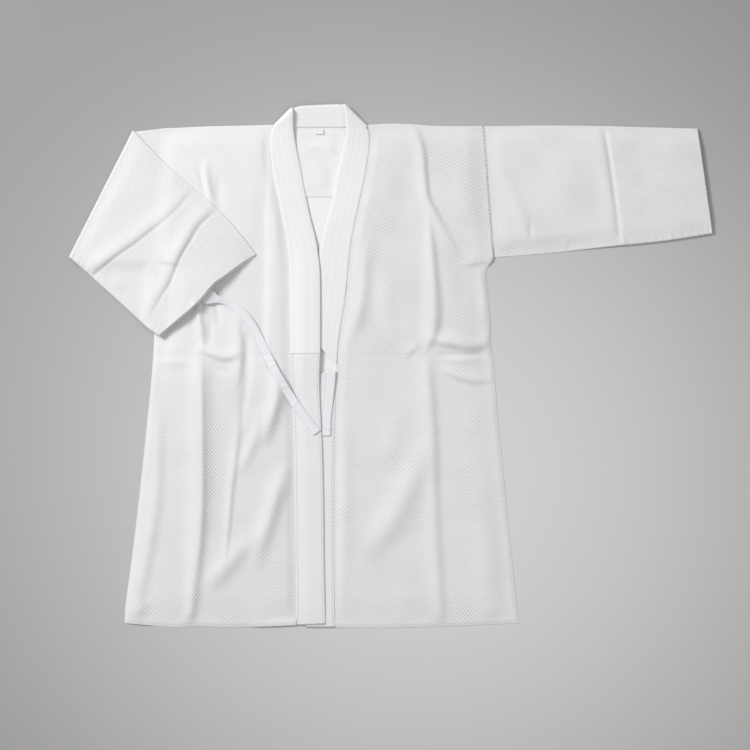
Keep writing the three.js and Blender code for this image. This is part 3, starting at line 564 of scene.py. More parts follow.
@dataclass(frozen=True)
class WovenCotton:
    """Cotton with a raised weave of small lozenges.

    Its height is a wave along each diagonal, lean cos(a - b) + (1 - lean) cos(a + b), where a and
    b turn once in a lozenge's width and height. Noise bends the rows and thins them in patches.

    Attributes:
        name: Name of the finish and of its material.
        color: Base colour, linear.
        pitch_across: Width of two lozenges, in millimetres.
        pitch_along: Height of two lozenges, in millimetres.
        lean: Share of the rows that rise to the right.
        relief: Height of the weave, in millimetres.
        shade: How much darker the hollows are painted, as painted shade.
        patchy: How far the weave fades in patches.
        rows: Distance between rows of quilting stitches across the cloth, or 0 for none.
        stitch: How much darker the stitch holes are painted, as painted shade.
        roughness: Roughness of the shader.
    """

    name: str
    color: tuple[float, float, float] = (0.85, 0.85, 0.86)
    pitch_across: float = 4.6
    pitch_along: float = 6.2
    lean: float = 0.5
    relief: float = 0.5
    shade: float = 0.22
    patchy: float = 0.6
    rows: float = 0.0
    stitch: float = 0.3
    roughness: float = 0.9

    def stitches(self, n: Nodes, uv: object) -> bpy.types.NodeSocket:
        """Short stitches in line: along the piece's seam, or in even rows across the cloth.

        Args:
            n: The node tree.
            uv: Socket of the cloth coordinates.

        Returns:
            A share that is 1 in a stitch's hole and 0 away from the rows.
        """
        if self.rows:
            place = n.xyz(uv)
            away = n.math("PINGPONG", place["X"], self.rows * MM / 2)
            width = 0.75
        else:
            place = n.xyz(n.uv("seam"))
            away = n.math("ABSOLUTE", n.math("SUBTRACT", place["X"], SEAM_STITCH * MM))
            width = 1.1
        line = n.map_range(away, {2: width * MM, 3: 1.0, 4: 0.0})
        beat = n.math("SINE", n.math("MULTIPLY", place["Y"], 2 * math.pi / (STITCH * MM)))
        return n.math("MULTIPLY", line, n.math("MULTIPLY_ADD", beat, 0.35, 0.65))

    def material(self) -> bpy.types.Material:
        """Builds the node tree.

        Returns:
            The material.
        """
        n = Nodes(self.name)
        uv = n.uv("cloth")
        wander = n.noise(uv, 55.0, 2.0)["Color"]
        offset = n.node(
            "ShaderNodeVectorMath",
            {"operation": "MULTIPLY_ADD"},
            {0: wander, 1: (0.0012, 0.0012, 0), 2: uv},
        )
        parts = n.xyz(offset.outputs[0])
        turn_a = n.math("MULTIPLY", parts["X"], 2 * math.pi / (self.pitch_across * MM))
        turn_b = n.math("MULTIPLY", parts["Y"], 2 * math.pi / (self.pitch_along * MM))
        rising = n.math("COSINE", n.math("SUBTRACT", turn_a, turn_b))
        falling = n.math("COSINE", n.math("ADD", turn_a, turn_b))
        weave = n.math(
            "MULTIPLY_ADD", rising, self.lean, n.math("MULTIPLY", falling, 1 - self.lean)
        )
        patches = n.noise(uv, 14.0, 3.0)["Fac"]
        amount = n.map_range(patches, {1: 0.38, 2: 0.62, 3: 1 - self.patchy, 4: 1.0})
        strength = n.xyz(n.uv("weave"))["X"]
        weave = n.math("MULTIPLY", weave, n.math("MULTIPLY", amount, strength))
        thread = n.noise(uv, 1900.0, 2.0)["Fac"]
        holes = self.stitches(n, uv)
        height = n.math("MULTIPLY_ADD", weave, 0.5, n.math("MULTIPLY", thread, 0.3))
        height = n.math("MULTIPLY_ADD", holes, -1.2, height)
        # Painted shade: the colour is darkened in the weave's hollows and in the stitch holes.
        mean = n.math("MINIMUM", strength, 1.0)
        hollow = n.math("MULTIPLY", n.math("SUBTRACT", mean, weave), 0.5 * self.shade)
        hollow = n.math("MULTIPLY_ADD", holes, self.stitch, hollow)
        level = n.math("SUBTRACT", 1.0, hollow)
        return n.cotton(self.color, level, height, self.relief, self.roughness, 0.12)


@dataclass(frozen=True)
class PlainCotton:
    """Smooth cotton: crossed threads under a millimetre apart and a faint cloudiness.

    Attributes:
        name: Name of the finish and of its material.
        color: Base colour, linear.
        pitch: Distance between threads, in millimetres.
        relief: Height of the threads, in millimetres.
        roughness: Roughness of the shader.
    """

    name: str
    color: tuple[float, float, float] = (0.85, 0.85, 0.86)
    pitch: float = 0.9
    relief: float = 0.12
    roughness: float = 0.85

    def material(self) -> bpy.types.Material:
        """Builds the node tree.

        Returns:
            The material.
        """
        n = Nodes(self.name)
        uv = n.uv("cloth")
        parts = n.xyz(uv)
        turns = 2 * math.pi / (self.pitch * MM)
        warp = n.math("COSINE", n.math("MULTIPLY", parts["X"], turns))
        weft = n.math("COSINE", n.math("MULTIPLY", parts["Y"], turns))
        threads = n.math("MULTIPLY", warp, weft)
        cloud = n.noise(uv, 160.0, 4.0)["Fac"]
        height = n.math("MULTIPLY_ADD", threads, 0.4, cloud)
        level = n.map_range(cloud, {3: 0.96, 4: 1.02})
        return n.cotton(self.color, level, height, self.relief, self.roughness, 0.1)


class Finish(Enum):
    """The jacket's cloths, each with the name of its material slot."""

    SASHIKO = WovenCotton("sashiko")
    SKIRT = WovenCotton(
        "skirt", pitch_across=5.3, pitch_along=7.1, lean=0.68, relief=0.6, shade=0.22, patchy=0.65
    )
    COLLAR = WovenCotton(
        "collar",
        pitch_across=4.4,
        pitch_along=5.6,
        lean=0.6,
        relief=0.2,
        shade=0.07,
        patchy=0.9,
        rows=9.8,
        stitch=0.05,
    )
    LINING = PlainCotton("lining", color=(0.84, 0.84, 0.85))
    TAPE = PlainCotton("tape", color=(0.83, 0.83, 0.85), pitch=1.1)


class Wardrobe:
    """Gives each piece its finish and its body, and hides the CAD part that it stands for."""

    def __init__(self) -> None:
        """Starts with no material made."""
        self.made: dict[Finish, bpy.types.Material] = {}

    def add(
        self,
        piece: bpy.types.Object,
        node: str,
        finish: Finish,
        flat: tuple[float, float],
        rests_on: list[str],
        area: float | None = None,
        held: str = "laid",
    ) -> None:
        """Args:
            piece: The piece.
            node: The CAD node that it stands for.
            finish: Its cloth.
            flat: Width and length of its cut, in metres.
            rests_on: Names of what it lies on. Not used.
            area: Area of the cut in square metres where it isn't a rectangle. Not used.
            held: How it is held. Not used.
        """
        if finish not in self.made:
            self.made[finish] = finish.value.material()
        piece.data.materials.append(self.made[finish])
        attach(piece, "root")
        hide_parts(node)
        faces, shown = len(piece.data.polygons), half_area(piece)
        log.info("%s: %d faces of %s cloth", piece.name, faces, finish.value.name)
        log.info("%s: cut %.3f by %.3f m, shown %.4f m2", piece.name, *flat, shown)


# ---- the body ----

SIDE_ROWS = {
    "y": (
        392, 312, 240, 190, 171, 164, 158, 151, 143, 134, 122,
        92, 58, 15, -40, -112, -180, -282, -350, -418, -440, -458,
    ),
    "right": (
        274.2, 280.3, 285.7, 289.5, 291, 291.4, 288.4, 284.6, 281, 279, 279.6,
        282.6, 284.6, 285.8, 289.7, 296.9, 303.9, 315.3, 323.7, 333, 335, 335.6,
    ),
    "left": (
        274.2, 280.3, 285.7, 289.5, 291, 291.4, 288.4, 284.6, 281, 279, 279.8,
        283.8, 286.4, 287.5, 293.6, 298.8, 306, 315.9, 323.2, 329.6, 332, 334,
    ),
}
RIGHT_SEAM_ROWS = {
    "y": (392, 372, 347, 321, 296, 262, 228, 194, 160, 92, 0, -112, -248, -460),
    "x": (-82.6, -87.2, -88.5, -86, -81, -74, -66.5, -61, -57, -55.5, -54.5, -48.5, -46, -44),
}
LEFT_SEAM_ROWS = {
    "y": (392, 364, 347, 313, 262, 236, 189, 150, 105, 54, 3, -53, -146, -282, -466),
    "x": (77.6, 80.5, 80, 75, 64.5, 58.5, 49.5, 45, 41, 33, 26.5, 24, 21.5, 20.5, 22),
}
HEM_ROWS = {
    "x": (-336, -300, -258, -240, -222, -200, -160, -100, -54, 6, 22, 180, 335),
    "y": (-457.5, -460.5, -464.4, -464.4, -462.6, -462.8, -464.5, -463, -461, -458, -465, -464, -457.5),
}
SHOULDER_ROWS = {
    "x": (-275, -241, -207, -173, -139, -105, -84, -60, 60, 78, 92, 107, 126, 150, 184, 218, 275),
    "rise": (-3.1, -1.4, 0.3, 1.3, 2, 2.7, 3.2, 0, 0, 3.4, 4.2, 5.2, 5.6, 4.8, 2.2, 1.2, 1.4),
}
SIDES = {side: smooth_rows(SIDE_ROWS, "y", side.name.lower()) for side in Side}
SEAMS = {
    Side.RIGHT: smooth_rows(RIGHT_SEAM_ROWS, "y", "x"),
    Side.LEFT: smooth_rows(LEFT_SEAM_ROWS, "y", "x"),
}
hem_y = smooth_rows(HEM_ROWS, "x", "y")
shoulder_rise = smooth_rows(SHOULDER_ROWS, "x", "rise")


def side_x(side: Side, y: np.ndarray) -> np.ndarray:
    """X of the body's side edge."""
    return side.value * SIDES[side](y)


def risen(x: np.ndarray, y: np.ndarray) -> np.ndarray:
    """Y of a place after the shoulder line's rise, which fades out below the shoulders."""
    return y + shoulder_rise(x) * smoothstep(y, 300, NECK_Y)


def free_edge(x: np.ndarray, y: np.ndarray) -> np.ndarray:
    """Distance from the hem or from the side edge below the armhole, whichever is closer."""
    sides = np.where(x < 0, x - side_x(Side.RIGHT, y), side_x(Side.LEFT, y) - x)
    return np.minimum(sides + 2 * SINK * smoothstep(y, 148, 168), y - hem_y(x))


FOLDS = {
    Side.RIGHT: [
        Crease((-197, -196, -192, -185), (333, 303, 279, 255), (0, 3, 3.6, 1), 6),
        Crease((-214, -204, -196), (320, 296, 262), (0, -2.4, 0), 3.4),
        Crease((-175, -175, -172), (309, 275, 238), (0, -1.6, 0), 7),
        Crease(
            (-95, -94, -96, -99, -101, -102, -102, -102),
            (384, 347, 279, 236, 178, 109, 15, -14),
            (0, -1.2, -1.6, -2, -2.4, -2.6, -2.2, 0),
            (8, 8, 9, 10, 13, 14, 11, 9), -0.62,
        ),
        Crease((-71, -73, -78, -82, -82), (384, 313, 211, 92, 3), (0, 1, 1.2, 1.2, 0), 9),
        Crease((-212, -209, -204, -202), (95, 71, 41, 10), (0, 4.4, 4.4, 1), 6, -0.35),
        Crease((-185, -177, -173), (92, 68, 44), (0, -2.6, 0), 5),
        Crease((-189, -189, -190), (71, 41, 7), (0, -1.8, 0), 5),
        Crease((-144, -143, -139, -141, -151), (71, 41, 7, -31, -68), (0, 2.6, 3.2, 2.4, 0), 9, -0.45),
        Crease((-258, -255, -252), (27, 3, -31), (0, 1.6, 0), 16),
        Crease((-214, -190, -163, -136), (15, 3, -5, 3), (0, 5, 5, 0), 8.5, 0.3),
        Crease((-201, -175, -150), (-14, -27, -31), (0, -1.4, 0), 6),
        Crease((-292, -248, -207), (-12, -14, -14), (0, 1.8, 0), 8),
        Crease(
            (-209, -207, -207, -207, -212, -218, -226, -230),
            (-3, -44, -146, -248, -325, -393, -466, -486),
            (2, 7.6, 8.6, 8.8, 8.4, 7, 5, 4),
            (13, 17, 18, 16, 14, 11, 9, 9), -0.05,
        ),
        Crease(
            (-205, -203, -202, -202, -206, -212),
            (-3, -78, -146, -248, -325, -393),
            (0, 2, 2.4, 2.4, 2, 0),
            5, -0.2,
        ),
        Crease(
            (-126, -127, -129, -134, -138),
            (27, -10, -53, -95, -133),
            (-2, -3.4, -3, -2, 0),
            (7, 8, 8, 6, 5),
        ),
        Crease(
            (-139, -143, -148, -154, -158, -162, -165),
            (-87, -133, -180, -231, -282, -325, -360),
            (0, 2.4, 3.4, 3.4, 3, 2, 0),
            (7, 7, 6.5, 6, 5, 4.4, 4), -0.35,
        ),
        Crease(
            (-279, -280, -284, -298, -311, -320),
            (-65, -146, -248, -337, -405, -469),
            (0, 4.4, 5, 5, 4.6, 3),
            14, -0.2,
        ),
        Crease((-80, -76, -87, -102), (-20, -65, -112, -160), (0, 8.6, 8, 0), 12, -0.1),
        Crease((-109, -110, -124, -146), (-87, -126, -167, -214), (0, 3, 3.4, 0), 10),
        Crease(
            (-61, -76, -90, -104, -116),
            (-180, -235, -282, -325, -371),
            (0, 7.4, 7.4, 5.2, 0),
            14, -0.1,
        ),
        Crease((-109, -143, -172, -202), (-299, -338, -371, -405), (0, 5, 5.6, 0), 16, -0.05),
        Crease((-119, -102, -95), (-418, -456, -479), (0, 2.4, 3), 14),
        Crease((-309, -308, -308), (-418, -456, -479), (0, 1.6, 2.4), 10),
    ],
    Side.LEFT: [
        Crease(
            (153, 168, 173, 178, 190, 202, 218, 231),
            (391, 350, 303, 265, 240, 216, 189, 163),
            (1, 4.4, 5.2, 5, 4.4, 3.4, 2.2, 0),
            (9, 9, 8, 8, 8, 9, 9, 9), -0.45,
        ),
        Crease(
            (180, 182, 185, 188, 190, 190, 185, 175),
            (248, 219, 185, 143, 92, 54, 27, 7),
            (0, 2, 4.4, 6, 7.4, 7.2, 5, 1),
            (6, 6, 8, 10, 13, 13, 10, 8), -0.32,
        ),
        Crease((230, 236, 240), (219, 126, 27), (0, -2, 0), 18),
        Crease((78, 73, 70, 61, 48), (201, 156, 109, 61, 24), (0, 3.4, 4.4, 4, 1.5), 11),
        Crease((104, 109, 116), (156, 92, 17), (0, 1.6, 0), 14),
        Crease((116, 112, 105), (364, 279, 194), (0, 1.3, 0), 20),
        Crease((238, 241, 252), (347, 279, 211), (0, 1.6, 0), 16),
        Crease((262, 270, 275, 272), (163, 126, 75, 32), (0, 1.4, 1.4, 0), 8),
        Crease((185, 209, 231, 255, 275, 289), (27, 22, 18, 14, 19, 29), (2, 8, 8, 6, 3, 1), 10.5, 0.2),
        Crease((194, 211, 250, 292), (0, -2, -2, 0), (0, -1.4, -1.4, -1), 5),
        Crease((194, 235, 289), (-10, -10, -10), (0, 1.6, 0), 8),
        Crease((201, 224, 252, 286), (-22, -34, -43, -44), (0, 4.4, 3.6, 1), 8, 0.3),
        Crease((173, 151, 133), (24, 7, -10), (0, 2, 0), 8, -0.3),
        Crease(
            (177, 180, 187, 189, 191, 197, 201, 202),
            (7, -46, -148, -230, -298, -398, -466, -486),
            (0, 4, 4.6, 4.6, 4.2, 3.6, 3.2, 3),
            12, -0.25,
        ),
        Crease(
            (173, 163, 138, 105, 65),
            (-139, -190, -246, -303, -350),
            (0, 6, 7.4, 6.4, 0),
            (18, 21, 24, 23, 20),
        ),
        Crease((41, 41, 39, 39), (-78, -180, -316, -418), (0, 1.6, 1.8, 0), 12),
        Crease((272, 280, 286), (-180, -316, -486), (0, 2.2, 2.2), 20),
        Crease((124, 119, 99), (-78, -146, -197), (0, 1.8, 0), 18),
        Crease((133, 136, 138), (-401, -452, -486), (0, 1.6, 2), 18),
    ],
}


# How strongly the weave, with the painted shade in its hollows, stands out on each part, and the widths of
# the parts' cuts in metres.
WEAVE = {Side.RIGHT: {"upper": 0.55, "skirt": 0.55}, Side.LEFT: {"upper": 1.7, "skirt": 1.0}}
CUT_WIDTHS = {
    Side.RIGHT: {"upper": 0.236, "skirt": 0.292},
    Side.LEFT: {"upper": 0.264, "skirt": 0.314},
}
# Where a hem stands a little off the surface.
HEM_STANDS = {
    Side.RIGHT: [
        Crease((-340, -322, -300, -280), (-459, -460, -461, -462), (0, 1.4, 1.4, 0), 14),
        Crease((-128, -100, -60, -40), (-463, -463, -461, -460), (0, 2.4, 3.0, 3.0), 14),
    ],
    Side.LEFT: [Crease((20, 60), (-465, -465), (0.6, 0), 14)],
}


@dataclass
class Front:
    """One front: its upper part, rolled over the shoulder, and its skirt part.

    Attributes:
        side: Which front it is.
        step: Largest distance between points, in millimetres.
        edge_thin: Share of its thickness that the cloth loses at its free edges.
        under_collar: How far its neck edge runs on below the collar at the shoulder.
    """

    side: Side
    step: float = 2.4
    edge_thin: float = 0.65
    under_collar: float = 6.5

    @property
    def word(self) -> str:
        """The side's name in the pieces' names."""
        return self.side.name.lower()

    def underside(self, x: np.ndarray, y: np.ndarray) -> np.ndarray:
        """Height of the cloth's underside: low at its sewn edges, puffed and folded between.

        Args:
            x: X of the places.
            y: Y of the places.

        Returns:
            The heights.
        """
        from_side = np.abs(side_x(self.side, y)) - np.abs(x)
        from_shoulder = SHOULDER_Y + shoulder_rise(x) - y
        from_seam = np.abs(x - SEAMS[self.side](y))
        over_yoke = mix(STOCK.front_low, STOCK.over_yoke, smoothstep(y, -60, 60))
        base = mix(STOCK.front_low + 0.3, over_yoke, smoothstep(from_side, 0, EDGE_FADE))
        from_free = free_edge(x, y)
        sunk = 1 - smoothstep(from_free, 0, SINK)
        base = mix(mix(base, SUNK_LOW, sunk), TIP_LOW, 1 - smoothstep(from_free, 0, TIP))
        puff = smoothstep(from_side, 0, EDGE_FADE) * smoothstep(from_shoulder, 0, EDGE_FADE)
        puff = puff * smoothstep(from_seam, 0, EDGE_FADE / 2) * (1 - sunk)
        calm = smoothstep(y - hem_y(x), -3, 26) * smoothstep(from_side, 0, FOLD_FADE)
        calm = calm * smoothstep(from_shoulder, 0, FOLD_FADE) * smoothstep(from_seam, 0, FOLD_FADE)
        folds = calm * (relief(FOLDS[self.side], x, y) + slack(x, y, 2.0 + self.side.value))
        return base + soft_floor(puff * FRONT_PUFF + folds) - soft_floor(np.zeros(1))

    def top(self, x: np.ndarray, y: np.ndarray) -> np.ndarray:
        """Height of the cloth's top, one thickness over its underside."""
        return self.underside(x, y) + STOCK.cloth

    def skins(self, x: np.ndarray, y: np.ndarray, hem: bool) -> tuple[np.ndarray, np.ndarray]:
        """The two skins over a grid of places, thinned to a lip along the grid's edges.

        The lip runs along the side edge and the hem, and the cloth keeps its thickness where
        other cloth is sewn on.

        Args:
            x: X of the grid.
            y: Y of the grid.
            hem: Whether the last row is a hem.

        Returns:
            The outer and the inner skin, rows by columns by 3.
        """
        low = self.underside(x, y)
        lip = lip_thinning(np.abs(x - x[:, :1]))
        if self.side is Side.RIGHT:
            lip = np.maximum(lip, smoothstep(y, 150, 164))
        if hem:
            lip = np.minimum(lip, lip_thinning(np.abs(y - y[-1:])))
            low = low + relief(HEM_STANDS[self.side], x, y) * (1 - smoothstep(y - y[-1:], 0, 20.0))
        full = STOCK.cloth * (1 - self.edge_thin * (1 - smoothstep(free_edge(x, y), 0, TIP)))
        thin = full * lip
        middle = low + full / 2
        outer = joined(x, y, middle + thin / 2)
        inner = joined(x, y, middle - thin / 2)
        return outer, inner

    def upper(self) -> bpy.types.Object:
        """The part above the waist. Its last rows turn half round the shoulder's axis.

        Returns:
            The piece.
        """
        axis_y = SHOULDER_Y - SHOULDER_RADIUS
        rows = axis_y - spread_to_edges(axis_y - STOCK.seam, self.step) * (axis_y - STOCK.seam)
        rows = np.concatenate([[axis_y], rows[3:]])
        sign = self.side.value
        left = side_x(self.side, rows)
        seam_x = SEAMS[self.side]
        right = seam_x(risen(seam_x(rows), rows)) + sign * STOCK.seam
        right = right - sign * self.under_collar * smoothstep(rows, 368, 381)
        share = spread_to_edges(float(np.abs(left - right).min()), self.step)
        x = mix(left[:, None], right[:, None], share[None, :])
        y = risen(x, np.broadcast_to(rows[:, None], x.shape))
        outer, inner = self.skins(x, y, hem=False)
        outer[0, :, 2] = 2 * SHOULDER_RADIUS
        inner[0, :, 2] = 2 * SHOULDER_RADIUS - STOCK.cloth
        turn = np.linspace(math.pi, 0, 14)[:-1]
        thin = STOCK.cloth * lip_thinning(np.minimum(np.abs(x[0] - x[0, 0]), np.abs(x[0] - x[0, -1])))
        middle = SHOULDER_RADIUS - STOCK.cloth / 2

        def roll(radius: np.ndarray) -> np.ndarray:
            """Half turns round the shoulder's axis, (x, y + r sin t, axis + r cos t).

            Args:
                radius: The radius r of each column.

            Returns:
                The points, turns by columns by 3.
            """
            shape = (len(turn), x.shape[1])
            return joined(
                np.broadcast_to(x[0], shape),
                y[0] + np.sin(turn)[:, None] * radius[None, :],
                SHOULDER_RADIUS + np.cos(turn)[:, None] * radius[None, :],
            )

        outer = np.concatenate([roll(middle + thin / 2), outer])
        inner = np.concatenate([roll(middle - thin / 2), inner])
        flat_y = np.concatenate([axis_y + middle * (math.pi - turn)[::-1], rows])
        uv_x = np.concatenate([np.broadcast_to(x[0], (len(turn), x.shape[1])), x])
        uv_y = np.broadcast_to(flat_y[:, None], uv_x.shape)
        from_side = np.abs(uv_x - uv_x[:, :1]) + (FAR if self.side is Side.RIGHT else 0)
        seam = joined(from_side, uv_y)
        name = f"front_{self.word}_upper_cloth"
        weave = (WEAVE[self.side]["upper"], 0.0)
        return shell(name, outer, inner, joined(uv_x, uv_y), seam, weave=weave)

    def skirt(self) -> bpy.types.Object:
        """The part below the waist, to the hem.

        Returns:
            The piece.
        """
        sign = self.side.value
        high = -STOCK.seam
        low_side = hem_y(side_x(self.side, -457.0))
        low_seam = hem_y(SEAMS[self.side](-460.0))
        share = spread_to_edges(float(high - low_side), self.step)
        y_side, y_seam = mix(high, low_side, share), mix(high, low_seam, share)
        x_side = side_x(self.side, y_side)
        x_seam = SEAMS[self.side](y_seam) + sign * STOCK.seam
        across = spread_to_edges(float(np.abs(x_side - x_seam).min()), self.step)
        x = mix(x_side[:, None], x_seam[:, None], across[None, :])
        y = mix(y_side[:, None], y_seam[:, None], across[None, :])
        hem = (hem_y(x) - mix(low_side, low_seam, across[None, :])) * smoothstep(share, 0.6, 1)[:, None]
        y = y + hem
        outer, inner = self.skins(x, y, hem=True)
        weave = (mix(WEAVE[self.side]["skirt"], 1.0, smoothstep(-y, 0, 80)), 0.0)
        places = joined(x, y)
        return shell(f"front_{self.word}_skirt_cloth", outer, inner, places, weave=weave)

    def build(self, wardrobe: Wardrobe) -> None:
        """Builds and dresses both parts, and hides their CAD parts.

        Args:
            wardrobe: What dresses the pieces.
        """
        for part, piece, finish, length, share in (
            ("upper", self.upper(), Finish.SASHIKO, 0.398, 0.92),
            ("skirt", self.skirt(), Finish.SKIRT, 0.466, 0.9),
        ):
            flat = (CUT_WIDTHS[self.side][part], length)
            area = flat[0] * flat[1] * share
            wardrobe.add(piece, f"front_{self.word}_{part}", finish, flat, [f"back_{part}"], area)


YOKE_FOLDS = [
    Crease((-36, -10, 14, 34), (340, 352, 348, 330), (0, 1.2, 1.2, 0), 7, 0.3),
    Crease((-24, -4, 12, 22), (366, 350, 322, 296), (0, -0.9, -1.1, 0), 6),
    Crease((-28, -14, 0, 4), (322, 316, 300, 282), (0, 1.1, 0.9, 0), 7),
    Crease((33, 27, 19, 12), (374, 345, 310, 275), (-1.2, -1.4, -1.2, -0.8), 9),
]


@dataclass
class Back:
    """The back, flat on the surface, in an upper and a skirt part, and the yoke's lining on it.

    Attributes:
        step: Largest distance between points, in millimetres.
        inset: How far its free sides lie inside those of the fronts.
        edge_thin: Share of its thickness that the cloth loses at its free edges.
        label_top: Y of the label's sewn edge.
        label_length: Length of the label.
        folds: Soft troughs in its underside.
    """

    step: float = 5.0
    inset: float = 6.0
    edge_thin: float = 0.72
    label_top: float = 382.0
    label_length: float = 9.0
    folds: tuple[Crease, ...] = (
        Crease((-150, -132, -128, -134), (310, 220, 140, 50), (0, 1.1, 0.8, 0), 16),
        Crease((112, 140, 158, 176), (330, 260, 160, 70), (0, 0.9, 1.1, 0), (12, 18, 16, 12)),
        Crease((-176, -200, -196, -222), (-30, -140, -280, -420), (0, 1.2, 0.7, 0), (14, 24, 18, 14)),
        Crease((104, 120, 150, 146), (-50, -180, -270, -390), (0, 0.8, 1.1, 0), 18),
    )

    def panel(self, name: str, high: float, low: float) -> bpy.types.Object:
        """A flat part with a few soft troughs in its underside, seen from below.

        Args:
            name: The piece's name.
            high: Y of its upper edge.
            low: Y of its lower edge.

        Returns:
            The piece.
        """
        rows = mix(high, low, spread_to_edges(high - low, self.step))
        inset = self.inset * (1 - smoothstep(rows, 130, 164))
        right, left = side_x(Side.RIGHT, rows) + inset, side_x(Side.LEFT, rows) - inset
        share = spread_to_edges(float((left - right).min()), self.step)
        x = mix(right[:, None], left[:, None], share[None, :])
        flat_y = np.broadcast_to(rows[:, None], x.shape)
        y = risen(x, flat_y)
        lift = relief(list(self.folds), x, y)
        edge_x = np.minimum(x - x[:, :1], x[:, -1:] - x)
        edge_y = np.minimum(high - flat_y, flat_y - low)
        full = STOCK.cloth * (1 - self.edge_thin * (1 - smoothstep(free_edge(x, y), 0, SINK)))
        lift = lift * smoothstep(free_edge(x, y), 10, 60)
        thin = full * lip_thinning(np.minimum(edge_x, edge_y))
        outer = joined(x, y, lift + (full + thin) / 2)
        inner = joined(x, y, lift + (full - thin) / 2)
        return shell(name, outer, inner, joined(x, y), weave=(0.0, 1.0))

    def yoke(self) -> bpy.types.Object:
        """The lining inside the shoulders, slightly uneven, with a turned lower edge.

        Returns:
            The piece.
        """
        high, low = NECK_Y + 2.4, YOKE_LOW_Y
        rows = mix(high, low, spread_to_edges(high - low, 2.5))
        share = spread_to_edges(2 * YOKE_HALF, 4.0)
        x, y = np.meshgrid(mix(-YOKE_HALF, YOKE_HALF, share), rows)
        y = risen(x, y)
        turned = 0.3 * smoothstep(9 - (y - low), 0, 1.2)
        opening = smoothstep(62 - np.abs(x), 0, 25) * smoothstep(y - low, 0, 20)
        wave = opening * (0.8 + slack(x, y, 4.0) + relief(YOKE_FOLDS, x, y))
        bottom = STOCK.front_low + soft_floor(wave, 0.2)
        outer = joined(x, y, bottom + STOCK.lining * 0.6 + turned)
        inner = joined(x, y, bottom)
        return shell("inner_yoke_lining", outer, inner, joined(x, y))

    def label(self) -> bpy.types.Object:
        """The blank label, a small tab sewn under the neck seam with its free edge curled.

        Returns:
            The piece.
        """
        top, low = self.label_top, self.label_top - self.label_length
        x, y = np.meshgrid(np.linspace(-11, 3, 15), np.linspace(top, low, 10))
        curl = 0.4 + 0.5 * ((top - y) / self.label_length) ** 2
        bottom = STOCK.over_yoke + 0.4 + curl
        outer = joined(x, y, bottom + STOCK.label)
        inner = joined(x, y, bottom)
        return shell("neck_label_tab", outer, inner, joined(x, y))

    def build(self, wardrobe: Wardrobe) -> None:
        """Args:
            wardrobe: What dresses the pieces.
        """
        upper = self.panel("back_upper_cloth", NECK_Y, BACK_WAIST_Y + STOCK.seam)
        skirt = self.panel("back_skirt_cloth", BACK_WAIST_Y - STOCK.seam, float(hem_y(0.0)) + 5)
        wardrobe.add(upper, "back_upper", Finish.SASHIKO, (0.582, 0.376), [], 0.211)
        wardrobe.add(skirt, "back_skirt", Finish.SKIRT, (0.67, 0.472), [], 0.291)
        wardrobe.add(self.yoke(), "inner_yoke", Finish.LINING, (0.3, 0.121), ["back_upper"])
        wardrobe.add(self.label(), "neck_label", Finish.TAPE, (0.014, 0.0105), ["inner_yoke"])


# ---- the sleeves ----


@dataclass(frozen=True)
class Tube:
    """Section of a flattened tube: two layers joined by rounded edges.

    Attributes:
        flat_points: Points across each flat layer.
        arc_points: Points round each edge.
    """

    flat_points: int = 92
    arc_points: int = 7

    def profile(self, width: float, half: float, skin: float) -> tuple[np.ndarray, np.ndarray, np.ndarray]:
        """One skin of the section, from the top edge over the front layer and back.

        Two straight runs, and at each edge half a circle of radius half - skin.

        Args:
            width: Width between the two folds.
            half: Half of the section's full thickness.
            skin: How far this skin is inside the outer one.

        Returns:
            Distance from the top edge, height over the middle, and a share that is 1 on the
            front layer and 0 on the back layer.
        """
        radius = half - skin
        arc = np.linspace(0, math.pi, self.arc_points + 2)
        run = np.linspace(half, width - half, self.flat_points)
        low_d, low_z = width - half + radius * np.sin(arc), radius * np.cos(arc)
        top_d, top_z = half - radius * np.sin(arc), -radius * np.cos(arc)
        d = np.concatenate([run[1:-1], low_d, run[::-1][1:-1], top_d])
        z = np.concatenate([np.full(len(run) - 2, radius), low_z, np.full(len(run) - 2, -radius), top_z])
        return d, z, (z / max(radius, 1e-6) + 1) / 2

    def places(self, width: float, along: np.ndarray) -> np.ndarray:
        """Cloth coordinates of a tube's grid.

        Args:
            width: Width between the two folds.
            along: Distance of each ring along the tube.

        Returns:
            Distance along and distance round from the top edge, with the first point again last.
        """
        d, _, _ = self.profile(width, STOCK.cloth + 0.3, 0.0)
        round_it = np.concatenate([[0], np.cumsum(np.hypot(np.diff(np.r_[d, d[0]]), 0.3))])
        u, v = np.meshgrid(round_it, along)
        return joined(v, u)


def pucker(distance: np.ndarray, along: np.ndarray, height: float) -> np.ndarray:
    """Small gathers along a seam: waves that fade a few millimetres away from the edge.

    Args:
        distance: Distance from the edge.
        along: Distance along it.
        height: Height of the largest gather.

    Returns:
        The heights.
    """
    wave = np.sin(along * 0.62) * 0.5 + np.sin(along * 0.37 + 1.3) * 0.5
    calm = 0.45 + 0.55 * np.sin(along * 0.021 + 0.8)
    return height * wave * calm * np.exp(-(((distance - 5.0) / 5.5) ** 2))


